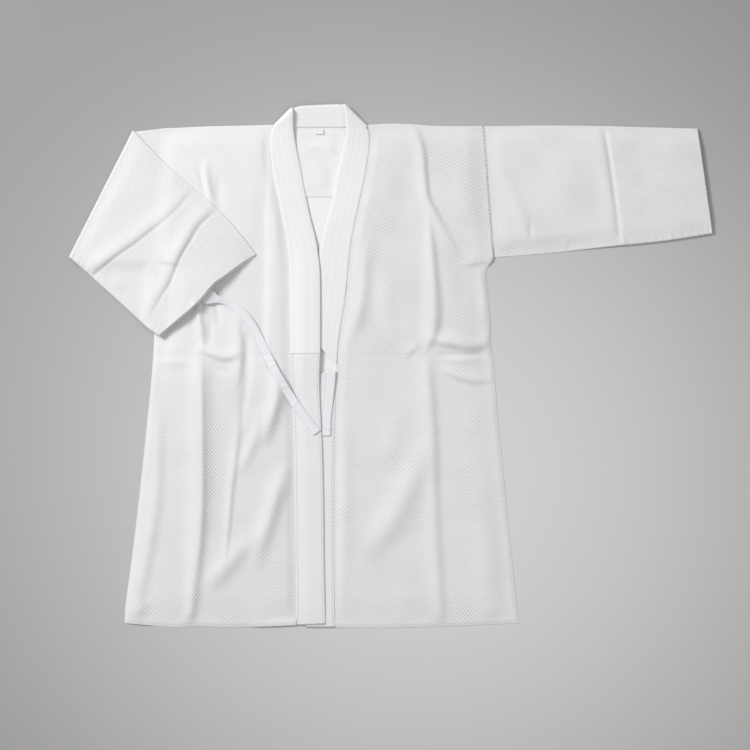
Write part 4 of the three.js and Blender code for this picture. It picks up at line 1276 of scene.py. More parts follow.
LEFT_SLEEVE_ROWS = {
    "top_x": (275, 372, 472, 558, 637.5),
    "top_y": (387, 388.3, 387.6, 385.2, 383),
    "low_x": (291.9, 388, 488, 580, 663),
    "low_y": (164, 171.6, 182.2, 191.6, 204.4),
}
LEFT_SLEEVE_FOLDS = [
    Crease(
        (476, 479, 486, 496, 503, 507),
        (401, 386, 347, 279, 224, 177),
        (-2.4, -2.8, -3, -3, -2.6, -1.6),
        3.8, -0.25,
    ),
    Crease((466, 476, 486, 493), (391, 330, 262, 202), (0, 1, 1, 0), 12),
    Crease((507, 513, 517), (207, 190, 177), (0, 2.2, 1), 4),
    Crease((313, 337, 354), (304, 235, 194), (0, 2.2, 0), 12),
    Crease((354, 354, 355), (231, 209, 187), (0, -1.6, 0), 4),
    Crease((413, 413, 413), (197, 187, 177), (0, 1.4, 0), 5),
    Crease((401, 415, 422), (364, 279, 194), (0, 1.2, 0), 22),
    Crease((575, 588, 598), (371, 296, 219), (0, 1.4, 0), 22),
]


@dataclass
class FlatSleeve:
    """The left sleeve: a flattened tube that lies on the surface, open at the cuff.

    Attributes:
        length: Length of the cloth from the armhole to the cuff.
        air: Space between its layers at the armhole.
        cuff_air: Space between its layers at the cuff.
        puff: How far its front layer stands up between its edges.
        step: Distance between rings, in millimetres.
        press: How much of its height the lower edge loses near the armhole.
        weave: How strongly the weave stands out.
        tube: Its section.
    """

    length: float = 388.0
    air: float = 0.6
    cuff_air: float = 2.4
    puff: float = 2.6
    step: float = 2.4
    press: float = 0.78
    weave: float = 1.6
    tube: Tube = field(default_factory=Tube)

    def ring(self, t: float, ends: np.ndarray, skin: float) -> np.ndarray:
        """One ring: the flat section, its front layer puffed, folded and gathered.

        Args:
            t: Share of the length at which it is.
            ends: Its top and low ends in plan.
            skin: 0 for the outer skin, 1 for the inner one.

        Returns:
            Its points, n by 3.
        """
        top, low = ends
        width = np.linalg.norm(low - top)
        along = t * self.length
        half = STOCK.cloth + mix(self.air, self.cuff_air, t) / 2
        lip = lip_thinning(np.minimum(along, self.length - along))
        d, z, front = self.tube.profile(width, half, mix(STOCK.cloth / 2, skin * STOCK.cloth, lip))
        spot = top + (low - top) * (d / width)[:, None]
        x, y = spot[:, 0], spot[:, 1]
        inner = np.minimum(d, width - d)
        near = smoothstep(along, 0, 30)
        waves = relief(LEFT_SLEEVE_FOLDS, x, y) + slack(x, y, 5.0)
        lift = self.puff * smoothstep(inner, 0, 30) * near + waves * smoothstep(inner, -2, 7) * near
        lift = soft_floor(lift, 0.3) + pucker(width - d, along, 0.7) * near
        low_edge = 1 - smoothstep(width - d, 0, 34)
        press = 1 - self.press * (1 - smoothstep(along, 90, 230)) * low_edge
        return joined(x, y, (half + z + front * lift) * press)

    def build(self, wardrobe: Wardrobe) -> None:
        """Args:
            wardrobe: What dresses the piece.
        """
        at = spread_to_edges(self.length, self.step)
        rows_at = np.linspace(0, 1, len(LEFT_SLEEVE_ROWS["top_x"]))
        edges = {key: Smooth(rows_at, values)(at) for key, values in LEFT_SLEEVE_ROWS.items()}
        ends = np.stack(list(edges.values()), axis=-1).reshape(-1, 2, 2)
        outer, inner = (
            np.stack([self.ring(t, pair, skin) for t, pair in zip(at, ends)]) for skin in (0.0, 1.0)
        )
        uv = self.tube.places(216.0, at * self.length)
        piece = shell("sleeve_left_cloth", outer, inner, uv, uv, True, (self.weave, 0.0))
        wardrobe.add(piece, "sleeve_left", Finish.SASHIKO, (0.44, 0.388), [], 0.152)


RIGHT_ARMHOLE = ((-274.6, 382.6), (-291.3, 164.0))
RIGHT_FOLD = ((-318.0, 377.6), (-426.6, 162.5))
RIGHT_CUFF = ((-108.5, 167.5), (-273.0, 29.0))
RIGHT_BOW_ROWS = {
    "at": (0, 0.25, 0.43, 0.6, 0.72, 0.88, 1),
    "top": (0, -1, 2.4, 7, 7.5, 4.5, 0),
    "low": (0, 0.6, 1.2, 1.8, 2.4, 2.8, 0),
}
CUFF_LIFT_ROWS = {
    "across": (0, 0.12, 0.26, 0.4, 0.55, 0.75, 1),
    "lift": (0.3, 1.2, 5, 9.5, 9, 7.5, 5.5),
}
CUFF_DIP_ROWS = {
    "across": (0, 0.07, 0.15, 0.22, 0.3, 0.37, 0.43, 0.51, 0.61, 0.75, 0.9, 1),
    "pull": (1, 3.8, 5.6, 6.6, 7.6, 9.2, 8, 4.6, 1.6, 1.2, 1.6, 1.2),
}
RIGHT_SLEEVE_FOLDS = [
    Crease(
        (-207, -224, -258, -316, -361, -395, -408),
        (303, 285, 246, 199, 167, 140, 129),
        (0, 1, 1.8, 3.4, 4.2, 3.4, 0),
        (8, 9, 11, 12, 12, 10, 8), -0.25,
    ),
    Crease(
        (-204, -217, -250, -309, -354, -388, -398),
        (291, 277, 239, 192, 160, 133, 126),
        (0, -0.8, -1, -1.4, -1.6, -1.2, 0),
        2.8,
    ),
    Crease(
        (-168, -189, -214, -232, -250, -264, -279, -298, -306),
        (265, 246, 221, 189, 156, 124, 99, 62, 41),
        (0, 1.8, 3.2, 4.4, 4.2, 3, 1.8, 1, 0),
        (8, 9, 11, 12, 12, 10, 9, 8, 8), -0.25,
    ),
    Crease(
        (-163, -181, -206, -223, -241, -255, -270, -287),
        (255, 239, 214, 183, 151, 119, 95, 61),
        (0, -1, -1.4, -1.6, -1.6, -1.2, -1, 0),
        2.8,
    ),
    Crease((-381, -371, -357), (156, 143, 133), (0, 1.4, 0), 6),
    Crease((-357, -347, -333), (129, 119, 112), (0, 1.4, 0), 6),
]
RIGHT_BOW = {key: smooth_rows(RIGHT_BOW_ROWS, "at", key) for key in ("top", "low")}
cuff_lift = smooth_rows(CUFF_LIFT_ROWS, "across", "lift")
cuff_dip = smooth_rows(CUFF_DIP_ROWS, "across", "pull")
ROOT_TOP = 2 * STOCK.cloth + 0.6


@dataclass
class FoldedSleeve:
    """The right sleeve: flat to its fold line, bent there, and laid back over the right front.

    Attributes:
        front: The front that it lies on.
        root: Length of its flat root, from the armhole to the fold line.
        bend: Length of the cloth in the bend.
        length: Length of the part that is laid back, from the fold line to the cuff.
        half: Half of the thickness of its root.
        air: Space between its layers at the bend.
        cuff_air: Space between its layers at the cuff.
        pivot: Height that the bend turns about.
        reach: Distance over which it sinks past the edge of what it lies on.
        settle: Share of the folded length in which it comes down from the bend.
        slip: How much further its upper layer is drawn back at the cuff.
        puff: How far its back layer, which is on top here, stands up between its edges.
        weave: How strongly the weave stands out.
        tube: Its section.
    """

    front: Front
    root: float = 95.0
    bend: float = 13.0
    length: float = 300.0
    half: float = STOCK.cloth + 0.3
    air: float = 0.6
    cuff_air: float = 2.4
    pivot: float = ROOT_TOP + 0.2
    reach: float = 26.0
    settle: float = 0.12
    slip: float = 2.6
    puff: float = 2.4
    weave: float = 0.85
    tube: Tube = field(default_factory=Tube)

    def under(self, x: np.ndarray, y: np.ndarray) -> np.ndarray:
        """Top of what the folded part lies on: the front, the sleeve's own root or the surface.

        Args:
            x: X of the places.
            y: Y of the places.

        Returns:
            The heights.
        """
        side = -side_x(Side.RIGHT, y)
        on_body = self.front.top(np.maximum(x, -side + 0.5), y)
        arm_x, arm_y = RIGHT_ARMHOLE[1]
        fold_x, fold_y = RIGHT_FOLD[1]
        root_low = mix(arm_y, fold_y, np.clip((x - arm_x) / (fold_x - arm_x), 0, 1))
        outside = np.maximum(np.minimum(-side - x, root_low - y), 0)
        in_body = smoothstep(x + side, -34, 4)
        resting = np.maximum(mix(ROOT_TOP, on_body, in_body), ROOT_TOP)
        return resting * (1 - smoothstep(outside, 2, self.reach))

    def section(
        self, ends: np.ndarray, half: float, inset: float
    ) -> tuple[np.ndarray, np.ndarray, np.ndarray, np.ndarray, np.ndarray, float]:
        """One ring's places in plan.

        Args:
            ends: The section's top and low ends.
            half: Half of its full thickness.
            inset: How far this skin is inside the outer one.

        Returns:
            X, Y, distance from the top edge, height over the middle, share of the front layer, width.
        """
        top, low = np.asarray(ends[0]), np.asarray(ends[1])
        width = float(np.linalg.norm(low - top))
        d, z, front = self.tube.profile(width, half, inset)
        spot = top + (low - top) * (d / width)[:, None]
        return spot[:, 0], spot[:, 1], d, z, front, width

    def root_ring(self, t: float, skin: float) -> np.ndarray:
        """One ring of the root, flat on the surface.

        Args:
            t: Share of the way from the armhole to the fold line.
            skin: 0 for the outer skin, 1 for the inner one.

        Returns:
            Its points, n by 3.
        """
        ends = mix(np.asarray(RIGHT_ARMHOLE), np.asarray(RIGHT_FOLD), t)
        x, y, _, z, _, _ = self.section(ends, self.half, skin * STOCK.cloth)
        return joined(x, y, self.half + z)

    def bend_ring(self, turn: float, out: np.ndarray, skin: float) -> np.ndarray:
        """One ring of the bend: the section at the fold line, turned about the pivot.

        Args:
            turn: Angle of the turn, from 0 to pi.
            out: Direction in plan that the bend bulges to, turned back.
            skin: 0 for the outer skin, 1 for the inner one.

        Returns:
            Its points, n by 3.
        """
        x, y, _, z, _, _ = self.section(np.asarray(RIGHT_FOLD), self.half, skin * STOCK.cloth)
        arm = self.half + z - self.pivot
        swing = -arm * math.sin(turn)
        return joined(x + out[0] * swing, y + out[1] * swing, self.pivot + arm * math.cos(turn))

    def laid_ring(self, t: float, out: np.ndarray, skin: float) -> np.ndarray:
        """One ring of the part laid back over the front: bowed, folded, gathered and pressed.

        Args:
            t: Share of the way from the fold line to the cuff.
            out: Direction in plan that the cuff's edge is drawn back to.
            skin: 0 for the outer skin, 1 for the inner one.

        Returns:
            Its points, n by 3.
        """
        air = mix(self.air, self.cuff_air, t)
        lip = float(lip_thinning(np.array((1 - t) * self.length)))
        inset = float(mix(STOCK.cloth / 2, skin * STOCK.cloth, lip))
        ends = mix(np.asarray(RIGHT_FOLD), np.asarray(RIGHT_CUFF), t)
        bow = np.array([[RIGHT_BOW["top"](t)], [-RIGHT_BOW["low"](t)]])
        ends = ends + bow * math.sqrt(0.5)
        x, y, d, z, front, width = self.section(ends, STOCK.cloth + air / 2, inset)
        share = d / width
        inner = np.minimum(d, width - d)
        waves = (relief(RIGHT_SLEEVE_FOLDS, x, y) + slack(x, y, 7.0)) * smoothstep(inner, -2, 8)
        folds = soft_floor(self.puff * smoothstep(inner, 0, 60) + waves, 0.3)
        ground = self.under(x, y) + STOCK.gap
        settled = smoothstep(t, 0, self.settle)
        bottom = mix(self.pivot, ground + cuff_lift(share) * t * t, settled) + 0.1
        bottom = bottom + folds * smoothstep(t, 0, 0.1) * (1 - 0.7 * front)
        bottom = bottom + pucker(width - d, t * self.length, 0.7) * (1 - front)
        height = bottom + STOCK.cloth + air / 2 - z
        top_edge = 1 - smoothstep(d, 0, 24)
        height = ground + (height - ground) * (1 - 0.5 * top_edge * smoothstep(t, 0.05, 0.3))
        slip = self.slip * (1 - front * smoothstep(inner, 0, 12))
        pulled = (cuff_dip(share) + slip) * t**3
        return joined(x + out[0] * pulled, y + out[1] * pulled, height)

    def build(self, wardrobe: Wardrobe) -> None:
        """Args:
            wardrobe: What dresses the piece.
        """
        run = np.subtract(RIGHT_FOLD[1], RIGHT_FOLD[0])
        out = np.array([run[1], -run[0]]) / np.linalg.norm(run)
        root_at = spread_to_edges(self.root, 4.0)[:-3]
        turns = np.linspace(0, math.pi, 19)
        laid_at = 1 - spread_to_edges(self.length, 2.6)[-4::-1]
        outer, inner = (
            np.stack(
                [self.root_ring(t, skin) for t in root_at]
                + [self.bend_ring(turn, out, skin) for turn in turns]
                + [self.laid_ring(t, out, skin) for t in laid_at]
            )
            for skin in (0.0, 1.0)
        )
        laid_along = self.root + self.bend + laid_at * self.length
        along = np.concatenate([root_at * self.root, self.root + 4.0 * turns, laid_along])
        uv = self.tube.places(225.0, along)
        piece = shell("sleeve_right_cloth", outer, inner, uv, None, True, (self.weave, 0.0))
        under = ["front_right_upper"]
        wardrobe.add(piece, "sleeve_right", Finish.SASHIKO, (0.47, 0.4), under, 0.16, "folded")


# ---- the collar, the bands and the ties ----


@dataclass
class Ribbon:
    """A band of cloth between a seam edge and a free edge, closed all round.

    Attributes:
        seam: Points of the seam edge, stations by 3.
        free: Points of the free edge, stations by 3.
        thickness: Full thickness.
        columns: Points across each face.
        weave: How strongly its weave stands out.
    """

    seam: np.ndarray
    free: np.ndarray
    thickness: float
    columns: int = 33
    weave: float = 0.6

    def dense(self, step: float) -> tuple[np.ndarray, np.ndarray, np.ndarray]:
        """Smooth lines through both edges at even steps along their middle.

        Args:
            step: Distance between stations, in millimetres.

        Returns:
            The seam edge, the free edge and the distance along.
        """
        middle = (self.seam + self.free) / 2
        keys = distance_along(middle)
        along = np.linspace(0, keys[-1], int(keys[-1] / step) + 1)
        edges = [
            np.stack([Smooth(keys, edge[:, k])(along) for k in range(3)], axis=-1)
            for edge in (self.seam, self.free)
        ]
        return edges[0], edges[1], along

    def faces(
        self, step: float, sag: Shape | None = None, plump: Shape | None = None
    ) -> tuple[np.ndarray, np.ndarray, np.ndarray]:
        """Both faces: the middle surface moved along its normal by half the thickness.

        The thickness is rounded off at both edges, sqrt(1 - (1 - d / r)^2), and times plump(w, s)
        at the share w of the width and the distance s along.

        Args:
            step: Distance between stations.
            sag: Heights to add at the shares across and the distances along, or None.
            plump: Shares of the thickness there, or None.

        Returns:
            Upper face, lower face and the distance along.
        """
        seam, free, along = self.dense(step)
        w = (1 - np.cos(np.linspace(0, math.pi, self.columns))) / 2
        w = mix(w, np.linspace(0, 1, self.columns), 0.7)
        surface = seam[:, None] + (free - seam)[:, None] * w[None, :, None]
        if sag is not None:
            surface[..., 2] += sag(w[None, :], along[:, None])
        d_along = np.gradient(surface, axis=0)
        d_across = np.gradient(surface, axis=1)
        normal = np.cross(d_along, d_across)
        normal /= np.maximum(np.linalg.norm(normal, axis=-1, keepdims=True), 1e-9)
        wide = np.linalg.norm(free - seam, axis=1)[:, None]
        round_off = lip_thinning((1 - w[None, :]) * wide, self.thickness / 2)
        at_seam = 0.62 + 0.38 * smoothstep(w[None, :] * wide, 0, self.thickness)
        round_off = round_off * np.minimum(at_seam, 0.5 + 0.5 * lip_thinning(w[None, :] * wide, 0.8))
        ends = np.minimum(along, along[-1] - along)[:, None]
        round_off = round_off * (0.97 + 0.03 * lip_thinning(ends, min(self.thickness / 2, 0.9)))
        half = self.thickness / 2 * round_off
        if plump is not None:
            half = half * plump(w[None, :], along[:, None])
        return surface + normal * half[..., None], surface - normal * half[..., None], along

    def cloth(
        self, name: str, step: float, sag: Shape | None = None, plump: Shape | None = None
    ) -> bpy.types.Object:
        """The band as a closed piece.

        Args:
            name: The piece's name.
            step: Distance between stations.
            sag: As for faces.
            plump: As for faces.

        Returns:
            The piece.
        """
        upper, lower, along = self.faces(step, sag, plump)
        width = float(np.linalg.norm(self.free - self.seam, axis=1).mean())
        u, v = np.meshgrid(np.linspace(0, width, self.columns), -along)
        stitched = np.minimum(np.abs(u - 5), np.abs(width - 4 - u)) + SEAM_STITCH
        places, seam = joined(u, v), joined(stitched, v)
        return shell(name, upper, lower, places, seam, weave=(self.weave, self.weave))


RIGHT_COLLAR_ROWS = {
    "x": (-2.6, -2.6, -2.6, -3.4, -6, -10.2, -18.7, -27.2, -37.4, -44.2, -48.4),
    "y": (0.02, 48, 96, 143, 168, 194, 228, 267, 321, 355, 384),
    "seam_y": (0.02, 47, 94, 139, 162, 186, 216, 256, 312, 349, 374),
    "free_lift": (4, 3.7, 3.4, 2.8, 1.8, 0.6, -0.6, -0.9, -0.8, 0.5, 4.2),
    "seam_lift": (0, 0, 0, 0, 0, 0, 0, 0, 0, 0.2, 0.8),
}
LEFT_COLLAR_ROWS = {
    "x": (40, 41, 37.5, 28.5, 21.8, 15.4, 5.5, -4, -8.6, -13, -15.4, -17.5, -19.4, -21.5),
    "y": (398, 379, 358, 321, 290, 256, 219, 182, 140, 96, 76, 58, 45, 30),
    "seam_y": (377, 363, 345, 310, 280, 246, 208, 173, 134, 90, 66, 42, 18, -18),
    "free_lift": (6.8, 3.8, 1.3, -0.2, -0.8, -1, -1, -1, -1, -1, -0.8, -0.6, -0.4, 0),
    "seam_lift": (0.8, 0.3, 0, 0, 0, 0, 0, 0, 0, 0, 0, 0, 0, 0),
}
NECK_ROWS = {
    "x": (-38, -6, 26),
    "y": (420.5, 422.6, 423.6),
    "seam_x": (-56, -8, 42),
    "seam_y": (384.7, 384.3, 384.7),
    "free_z": (8, 8, 8),
    "seam_z": (2.5, 2.5, 2.5),
}
NECK_FOLDS = {
    Side.RIGHT: {"seam": (-80.0, 386.0), "free": (-48.8, 412.8), "out": (-0.72, 0.69)},
    Side.LEFT: {"seam": (75.6, 384.6), "free": (37.0, 418.4), "out": (0.71, 0.7)},
}


@dataclass
class Collar:
    """The quilted collar: up the right front, round the neck and down the left front.

    Attributes:
        channels: Stuffed channels across its width.
        stitch: Distance between stitches, in millimetres.
        seam_radius: Radius of the fold beside the neck at the seam edge.
        free_radius: Radius of that fold at the free edge.
        seam_axis: Height of the fold's axis at the seam edge.
        free_axis: Height of the fold's axis at the free edge.
        slide: How far the fold's inner end lies behind its outer one, along X and Y.
        thin: Share of its thickness that the free edge loses.
    """

    channels: int = 5
    stitch: float = 4.2
    seam_radius: float = 2.1
    free_radius: float = 4.2
    seam_axis: float = 4.4
    free_axis: float = 11.3
    slide: tuple[float, float] = (2.6, 5.0)
    thin: float = 0.45

    def front_stations(self, rows: dict[str, tuple[float, ...]], side: Side) -> tuple[list, list]:
        """Edges of the stretch on one front.

        Args:
            rows: Its table.
            side: Which front it is on.

        Returns:
            Points of the seam edge and of the free edge.
        """
        middle = STOCK.over_yoke + STOCK.collar / 2
        seam_y, seam_z = np.array(rows["seam_y"]), middle - 1.0 + np.array(rows["seam_lift"])
        seam = joined(SEAMS[side](seam_y), seam_y, seam_z)
        free = joined(rows["x"], rows["y"], middle + np.array(rows["free_lift"]))
        return list(seam), list(free)

    def fold_stations(self, side: Side) -> tuple[list, list]:
        """Edges of the fold beside the neck: half a turn about a sloping axis.

        Args:
            side: Which side of the neck it is on.

        Returns:
            Points of the seam edge and of the free edge, from the outer side to the inner one.
        """
        row = NECK_FOLDS[side]
        spokes = [
            np.array([row["out"][0] * math.sin(t), row["out"][1] * math.sin(t), math.cos(t)])
            for t in np.linspace(0, math.pi, 6)
        ]
        seam = [np.array([*row["seam"], self.seam_axis]) + self.seam_radius * s for s in spokes]
        free = [np.array([*row["free"], self.free_axis]) + self.free_radius * s for s in spokes]
        slide = np.array([-self.slide[0] * side.value, self.slide[1], 0])
        return seam, [p + slide * k / 5 for k, p in enumerate(free)]

    def plump(self, w: np.ndarray, s: np.ndarray) -> np.ndarray:
        """Share of the full thickness: pinched at each row of stitches, thinner at the free edge.

        Args:
            w: Shares across.
            s: Distances along.

        Returns:
            The shares.
        """
        row = np.abs(np.cos(w * self.channels * math.pi)) ** 8
        gather = 1 + 0.2 * np.cos(2 * math.pi * s / self.stitch)
        uneven = 1 + 0.5 * np.sin(s / 37.0 + 9 * w)
        return (1 - 0.035 * row * gather * uneven) * (1 - self.thin * smoothstep(w, 0.84, 1))

    def build(self, wardrobe: Wardrobe) -> None:
        """Args:
            wardrobe: What dresses the pieces.
        """
        parts = [
            self.front_stations(RIGHT_COLLAR_ROWS, Side.RIGHT),
            self.fold_stations(Side.RIGHT),
            tuple(
                list(joined(*(NECK_ROWS[key] for key in keys)))
                for keys in (("seam_x", "seam_y", "seam_z"), ("x", "y", "free_z"))
            ),
            tuple(edge[::-1] for edge in self.fold_stations(Side.LEFT)),
            self.front_stations(LEFT_COLLAR_ROWS, Side.LEFT),
        ]
        seam = np.array([p for part in parts for p in part[0]], float)
        free = np.array([p for part in parts for p in part[1]], float)
        ribbon = Ribbon(seam, free, STOCK.collar, columns=41)
        middle = (seam + free) / 2
        keys = distance_along(middle)
        rise = Smooth(keys, free[:, 2] - seam[:, 2])
        on_right = Smooth([0, keys[8], keys[9], keys[-1]], [1, 1, 0, 0])

        def sag(w: np.ndarray, s: np.ndarray) -> np.ndarray:
            """Moves the rise of the lapped stretch from its whole width into its seam half."""
            return rise(s) * np.clip(on_right(s), 0, 1) * (smoothstep(w, 0, 0.52) - w)

        piece = ribbon.cloth("collar_band", 2.1, sag, self.plump)
        under = ["front_right_upper", "front_left_upper"]
        wardrobe.add(piece, "collar", Finish.COLLAR, (0.05, 1.02), under)


RIGHT_BAND_ROWS = {
    "y": (0, -44, -95, -146, -248, -350, -458),
    "x": (-3, -4.3, -2.6, 0, 2.6, 3.6, 6),
}


@dataclass
class FrontBands:
    """The two front bands below the waist, the right one lapped over the left one.

    Attributes:
        width: Width of the left band.
        lap: How far the right band's free half is lifted over the left one.
        top_lap: The same at its upper end, where it meets the collar's.
        rise: How much higher its upper end is at the seam.
        left_top: Y of the left band's upper end.
        left_low: Y of its lower end.
        right_sink: How far the right band comes down at the hem.
        left_sink: How far the left band comes down there.
    """

    width: float = 50.0
    lap: float = 2.6
    top_lap: float = 5.4
    rise: float = 0.5
    left_top: float = -32.0
    left_low: float = -464.0
    right_sink: float = 1.6
    left_sink: float = 1.4

    @property
    def right_low(self) -> float:
        """Underside of the right band's lower end at its seam."""
        return STOCK.front_low + 0.1

    def lap_at(self, s: np.ndarray) -> np.ndarray:
        """The lap at distances from the upper end."""
        return mix(self.top_lap, self.lap, smoothstep(s, 0, 80))

    def right(self) -> bpy.types.Object:
        """The right band: its surface steps up over the left band's hidden edge.

        Returns:
            The piece.
        """
        share = np.linspace(0, 1, 24)
        seam_y = mix(-STOCK.seam, float(hem_y(-44.0)), share)
        free_y = mix(-STOCK.seam, float(hem_y(6.0)), share)
        middle = self.right_low + STOCK.band / 2 + self.rise * (1 - share)
        band_x = smooth_rows(RIGHT_BAND_ROWS, "y", "x")
        seam = joined(SEAMS[Side.RIGHT](seam_y), seam_y, middle)
        free = joined(band_x(free_y), free_y, middle + self.lap_at(-free_y))

        def sag(w: np.ndarray, s: np.ndarray) -> np.ndarray:
            """A soft step from the seam's height to the free edge's, sunk near the hem."""
            down = self.right_sink * smoothstep(s, 430, 462)
            return self.lap_at(s) * (smoothstep(w, 0.0, 0.5) - w) - down

        return Ribbon(seam, free, STOCK.band).cloth("band_right_cloth", 2.6, sag, self.plump)

    def left(self) -> bpy.types.Object:
        """The left band, flat on the back and mostly hidden.

        Returns:
            The piece.
        """
        y = np.linspace(self.left_top, self.left_low, 24)
        x = SEAMS[Side.LEFT](y)
        middle = STOCK.front_low + STOCK.band / 2 - self.left_sink * smoothstep(-y, 436, 462)
        seam = joined(x, y, middle)
        free = joined(x - self.width, y, middle)
        return Ribbon(seam, free, STOCK.band).cloth("band_left_cloth", 2.8, None, self.plump)

    @staticmethod
    def plump(w: np.ndarray, s: np.ndarray) -> np.ndarray:
        """Thickness share: pinched along the stitching near both edges."""
        line = 0.5 * np.exp(-(((w - 0.13) / 0.03) ** 2)) + np.exp(-(((w - 0.95) / 0.02) ** 2))
        return 1 - 0.12 * line * (1 + 0.4 * np.cos(2 * math.pi * s / 4.2))

    def build(self, wardrobe: Wardrobe) -> None:
        """Builds and dresses both bands, and hides their CAD parts.

        Args:
            wardrobe: What dresses the pieces.
        """
        wardrobe.add(self.right(), "band_right", Finish.SKIRT, (0.052, 0.462), ["band_left"])
        wardrobe.add(self.left(), "band_left", Finish.SKIRT, (0.052, 0.436), ["back_skirt"])


RIGHT_TIE_ROWS = {
    "x": (-279, -250, -222, -203, -190, -177, -163, -150, -137, -121, -107, -93, -75, -55, -33, -8),
    "y": (111, 114, 115, 107, 96, 92.5, 88.5, 81, 71, 53, 28, -1, -36, -69, -102, -134),
    "lift": (0.8, 0.8, 1.6, 4, 6, 4.2, 2.4, 1.8, 1.6, 1.4, 1.2, 1, 1, 1, 1.2, 1),
    "roll": (0, 0, 0, 0, 4, 10, 14, 15, 12, 6, 2, 0, 0, 0, 0, 0),
    "width": (14, 14, 20, 28, 26, 13, 12, 13, 14, 14, 14, 14, 14, 14, 14, 14),
}
LEFT_TIE_ROWS = {
    "x": (17, 15, 11.9, 8.4, 7.6),
    "y": (-27, -51, -81, -113, -139),
    "lift": (3.6, 2.6, 1.3, 1.1, 1.1),
    "roll": (0, 0, 0, 0, 0),
    "width": (14, 14, 14, 14, 14),
}


@dataclass
class Tie:
    """A flat tape on a smooth line, rolled about it, with small creases across it.

    Attributes:
        name: The piece's name.
        node: The CAD node that it stands for.
        rows: Its table.
        creases: Distances along at which it is creased.
    """

    name: str
    node: str
    rows: dict[str, tuple[float, ...]]
    creases: tuple[float, ...] = ()

    def build(self, wardrobe: Wardrobe, rests_on: Shape, lies_on: list[str]) -> None:
        """Args:
            wardrobe: What dresses the piece.
            rests_on: Function of X and Y that gives the height under the tie.
            lies_on: Names of what it lies on.
        """
        x, y, lift, roll, width = (np.asarray(values, float) for values in self.rows.values())
        reach = 8.0
        around = [(i * reach, j * reach) for i in (-1, 0, 1) for j in (-1, 0, 1)]
        ground = np.max([rests_on(x + dx, y + dy) for dx, dy in around], axis=0)
        centre = joined(x, y, ground + lift)
        heading = np.gradient(centre[:, :2], axis=0)
        heading /= np.linalg.norm(heading, axis=1, keepdims=True)
        roll, half = np.radians(roll), width / 2
        lean = np.cos(roll)
        arm = joined(-heading[:, 1] * lean * half, heading[:, 0] * lean * half, np.sin(roll) * half)
        ribbon = Ribbon(centre - arm, centre + arm, STOCK.tape, columns=13)

        def crease(w: np.ndarray, s: np.ndarray) -> np.ndarray:
            """Small bumps across the tape at its creases, each a bell of the distance along.

            Args:
                w: Shares across.
                s: Distances along.

            Returns:
                The heights.
            """
            shape = np.zeros(np.broadcast(w, s).shape)
            for k, at in enumerate(self.creases):
                shape = shape + 0.7 * np.exp(-(((s - at - 4 * w * (-1) ** k) / 2.2) ** 2))
            return shape

        piece = ribbon.cloth(self.name, 1.8, crease)
        length = float(distance_along(centre)[-1]) * MM
        wardrobe.add(piece, self.node, Finish.TAPE, (0.015, round(length, 3)), lies_on)


@dataclass
class Ties:
    """Both ties, each on what it lies on.

    Attributes:
        front: The right front.
        bands: The front bands.
    """

    front: Front
    bands: FrontBands

    def under_right(self, x: np.ndarray, y: np.ndarray) -> np.ndarray:
        """Top of the right front, then of the right band with its lap.

        Args:
            x: X of the places.
            y: Y of the places.

        Returns:
            The heights.
        """
        on_band = self.bands.right_low + STOCK.band + self.bands.rise
        on_band = on_band + self.bands.lap_at(-y) * smoothstep(x, -58, -34)
        on_front = self.front.top(np.maximum(x, side_x(Side.RIGHT, y) + 0.5), y)
        return np.maximum(on_front, on_band * smoothstep(x, -66, -58))

    @staticmethod
    def under_left(x: np.ndarray, y: np.ndarray) -> np.ndarray:
        """Top of the left band, which is level."""
        return np.full(np.broadcast(x, y).shape, STOCK.front_low + STOCK.band)

    def build(self, wardrobe: Wardrobe) -> None:
        """Builds and dresses both ties, and hides their CAD parts.

        Args:
            wardrobe: What dresses the pieces.
        """
        right = Tie("tie_right_tape", "tie_right", RIGHT_TIE_ROWS, (248, 262, 300, 338))
        right.build(wardrobe, self.under_right, ["front_right_upper", "band_right"])
        left = Tie("tie_left_tape", "tie_left", LEFT_TIE_ROWS, (96,))
        left.build(wardrobe, self.under_left, ["band_left"])


# ---- camera, lights and floor ----


LIGHTS = {
    "key": {"at": (-2.8, 2.24, 2.94), "size": 1.26, "power": 168.0},
    "fill": {"at": (2.2, -0.9, 2.6), "size": 2.2, "power": 18.0},
}


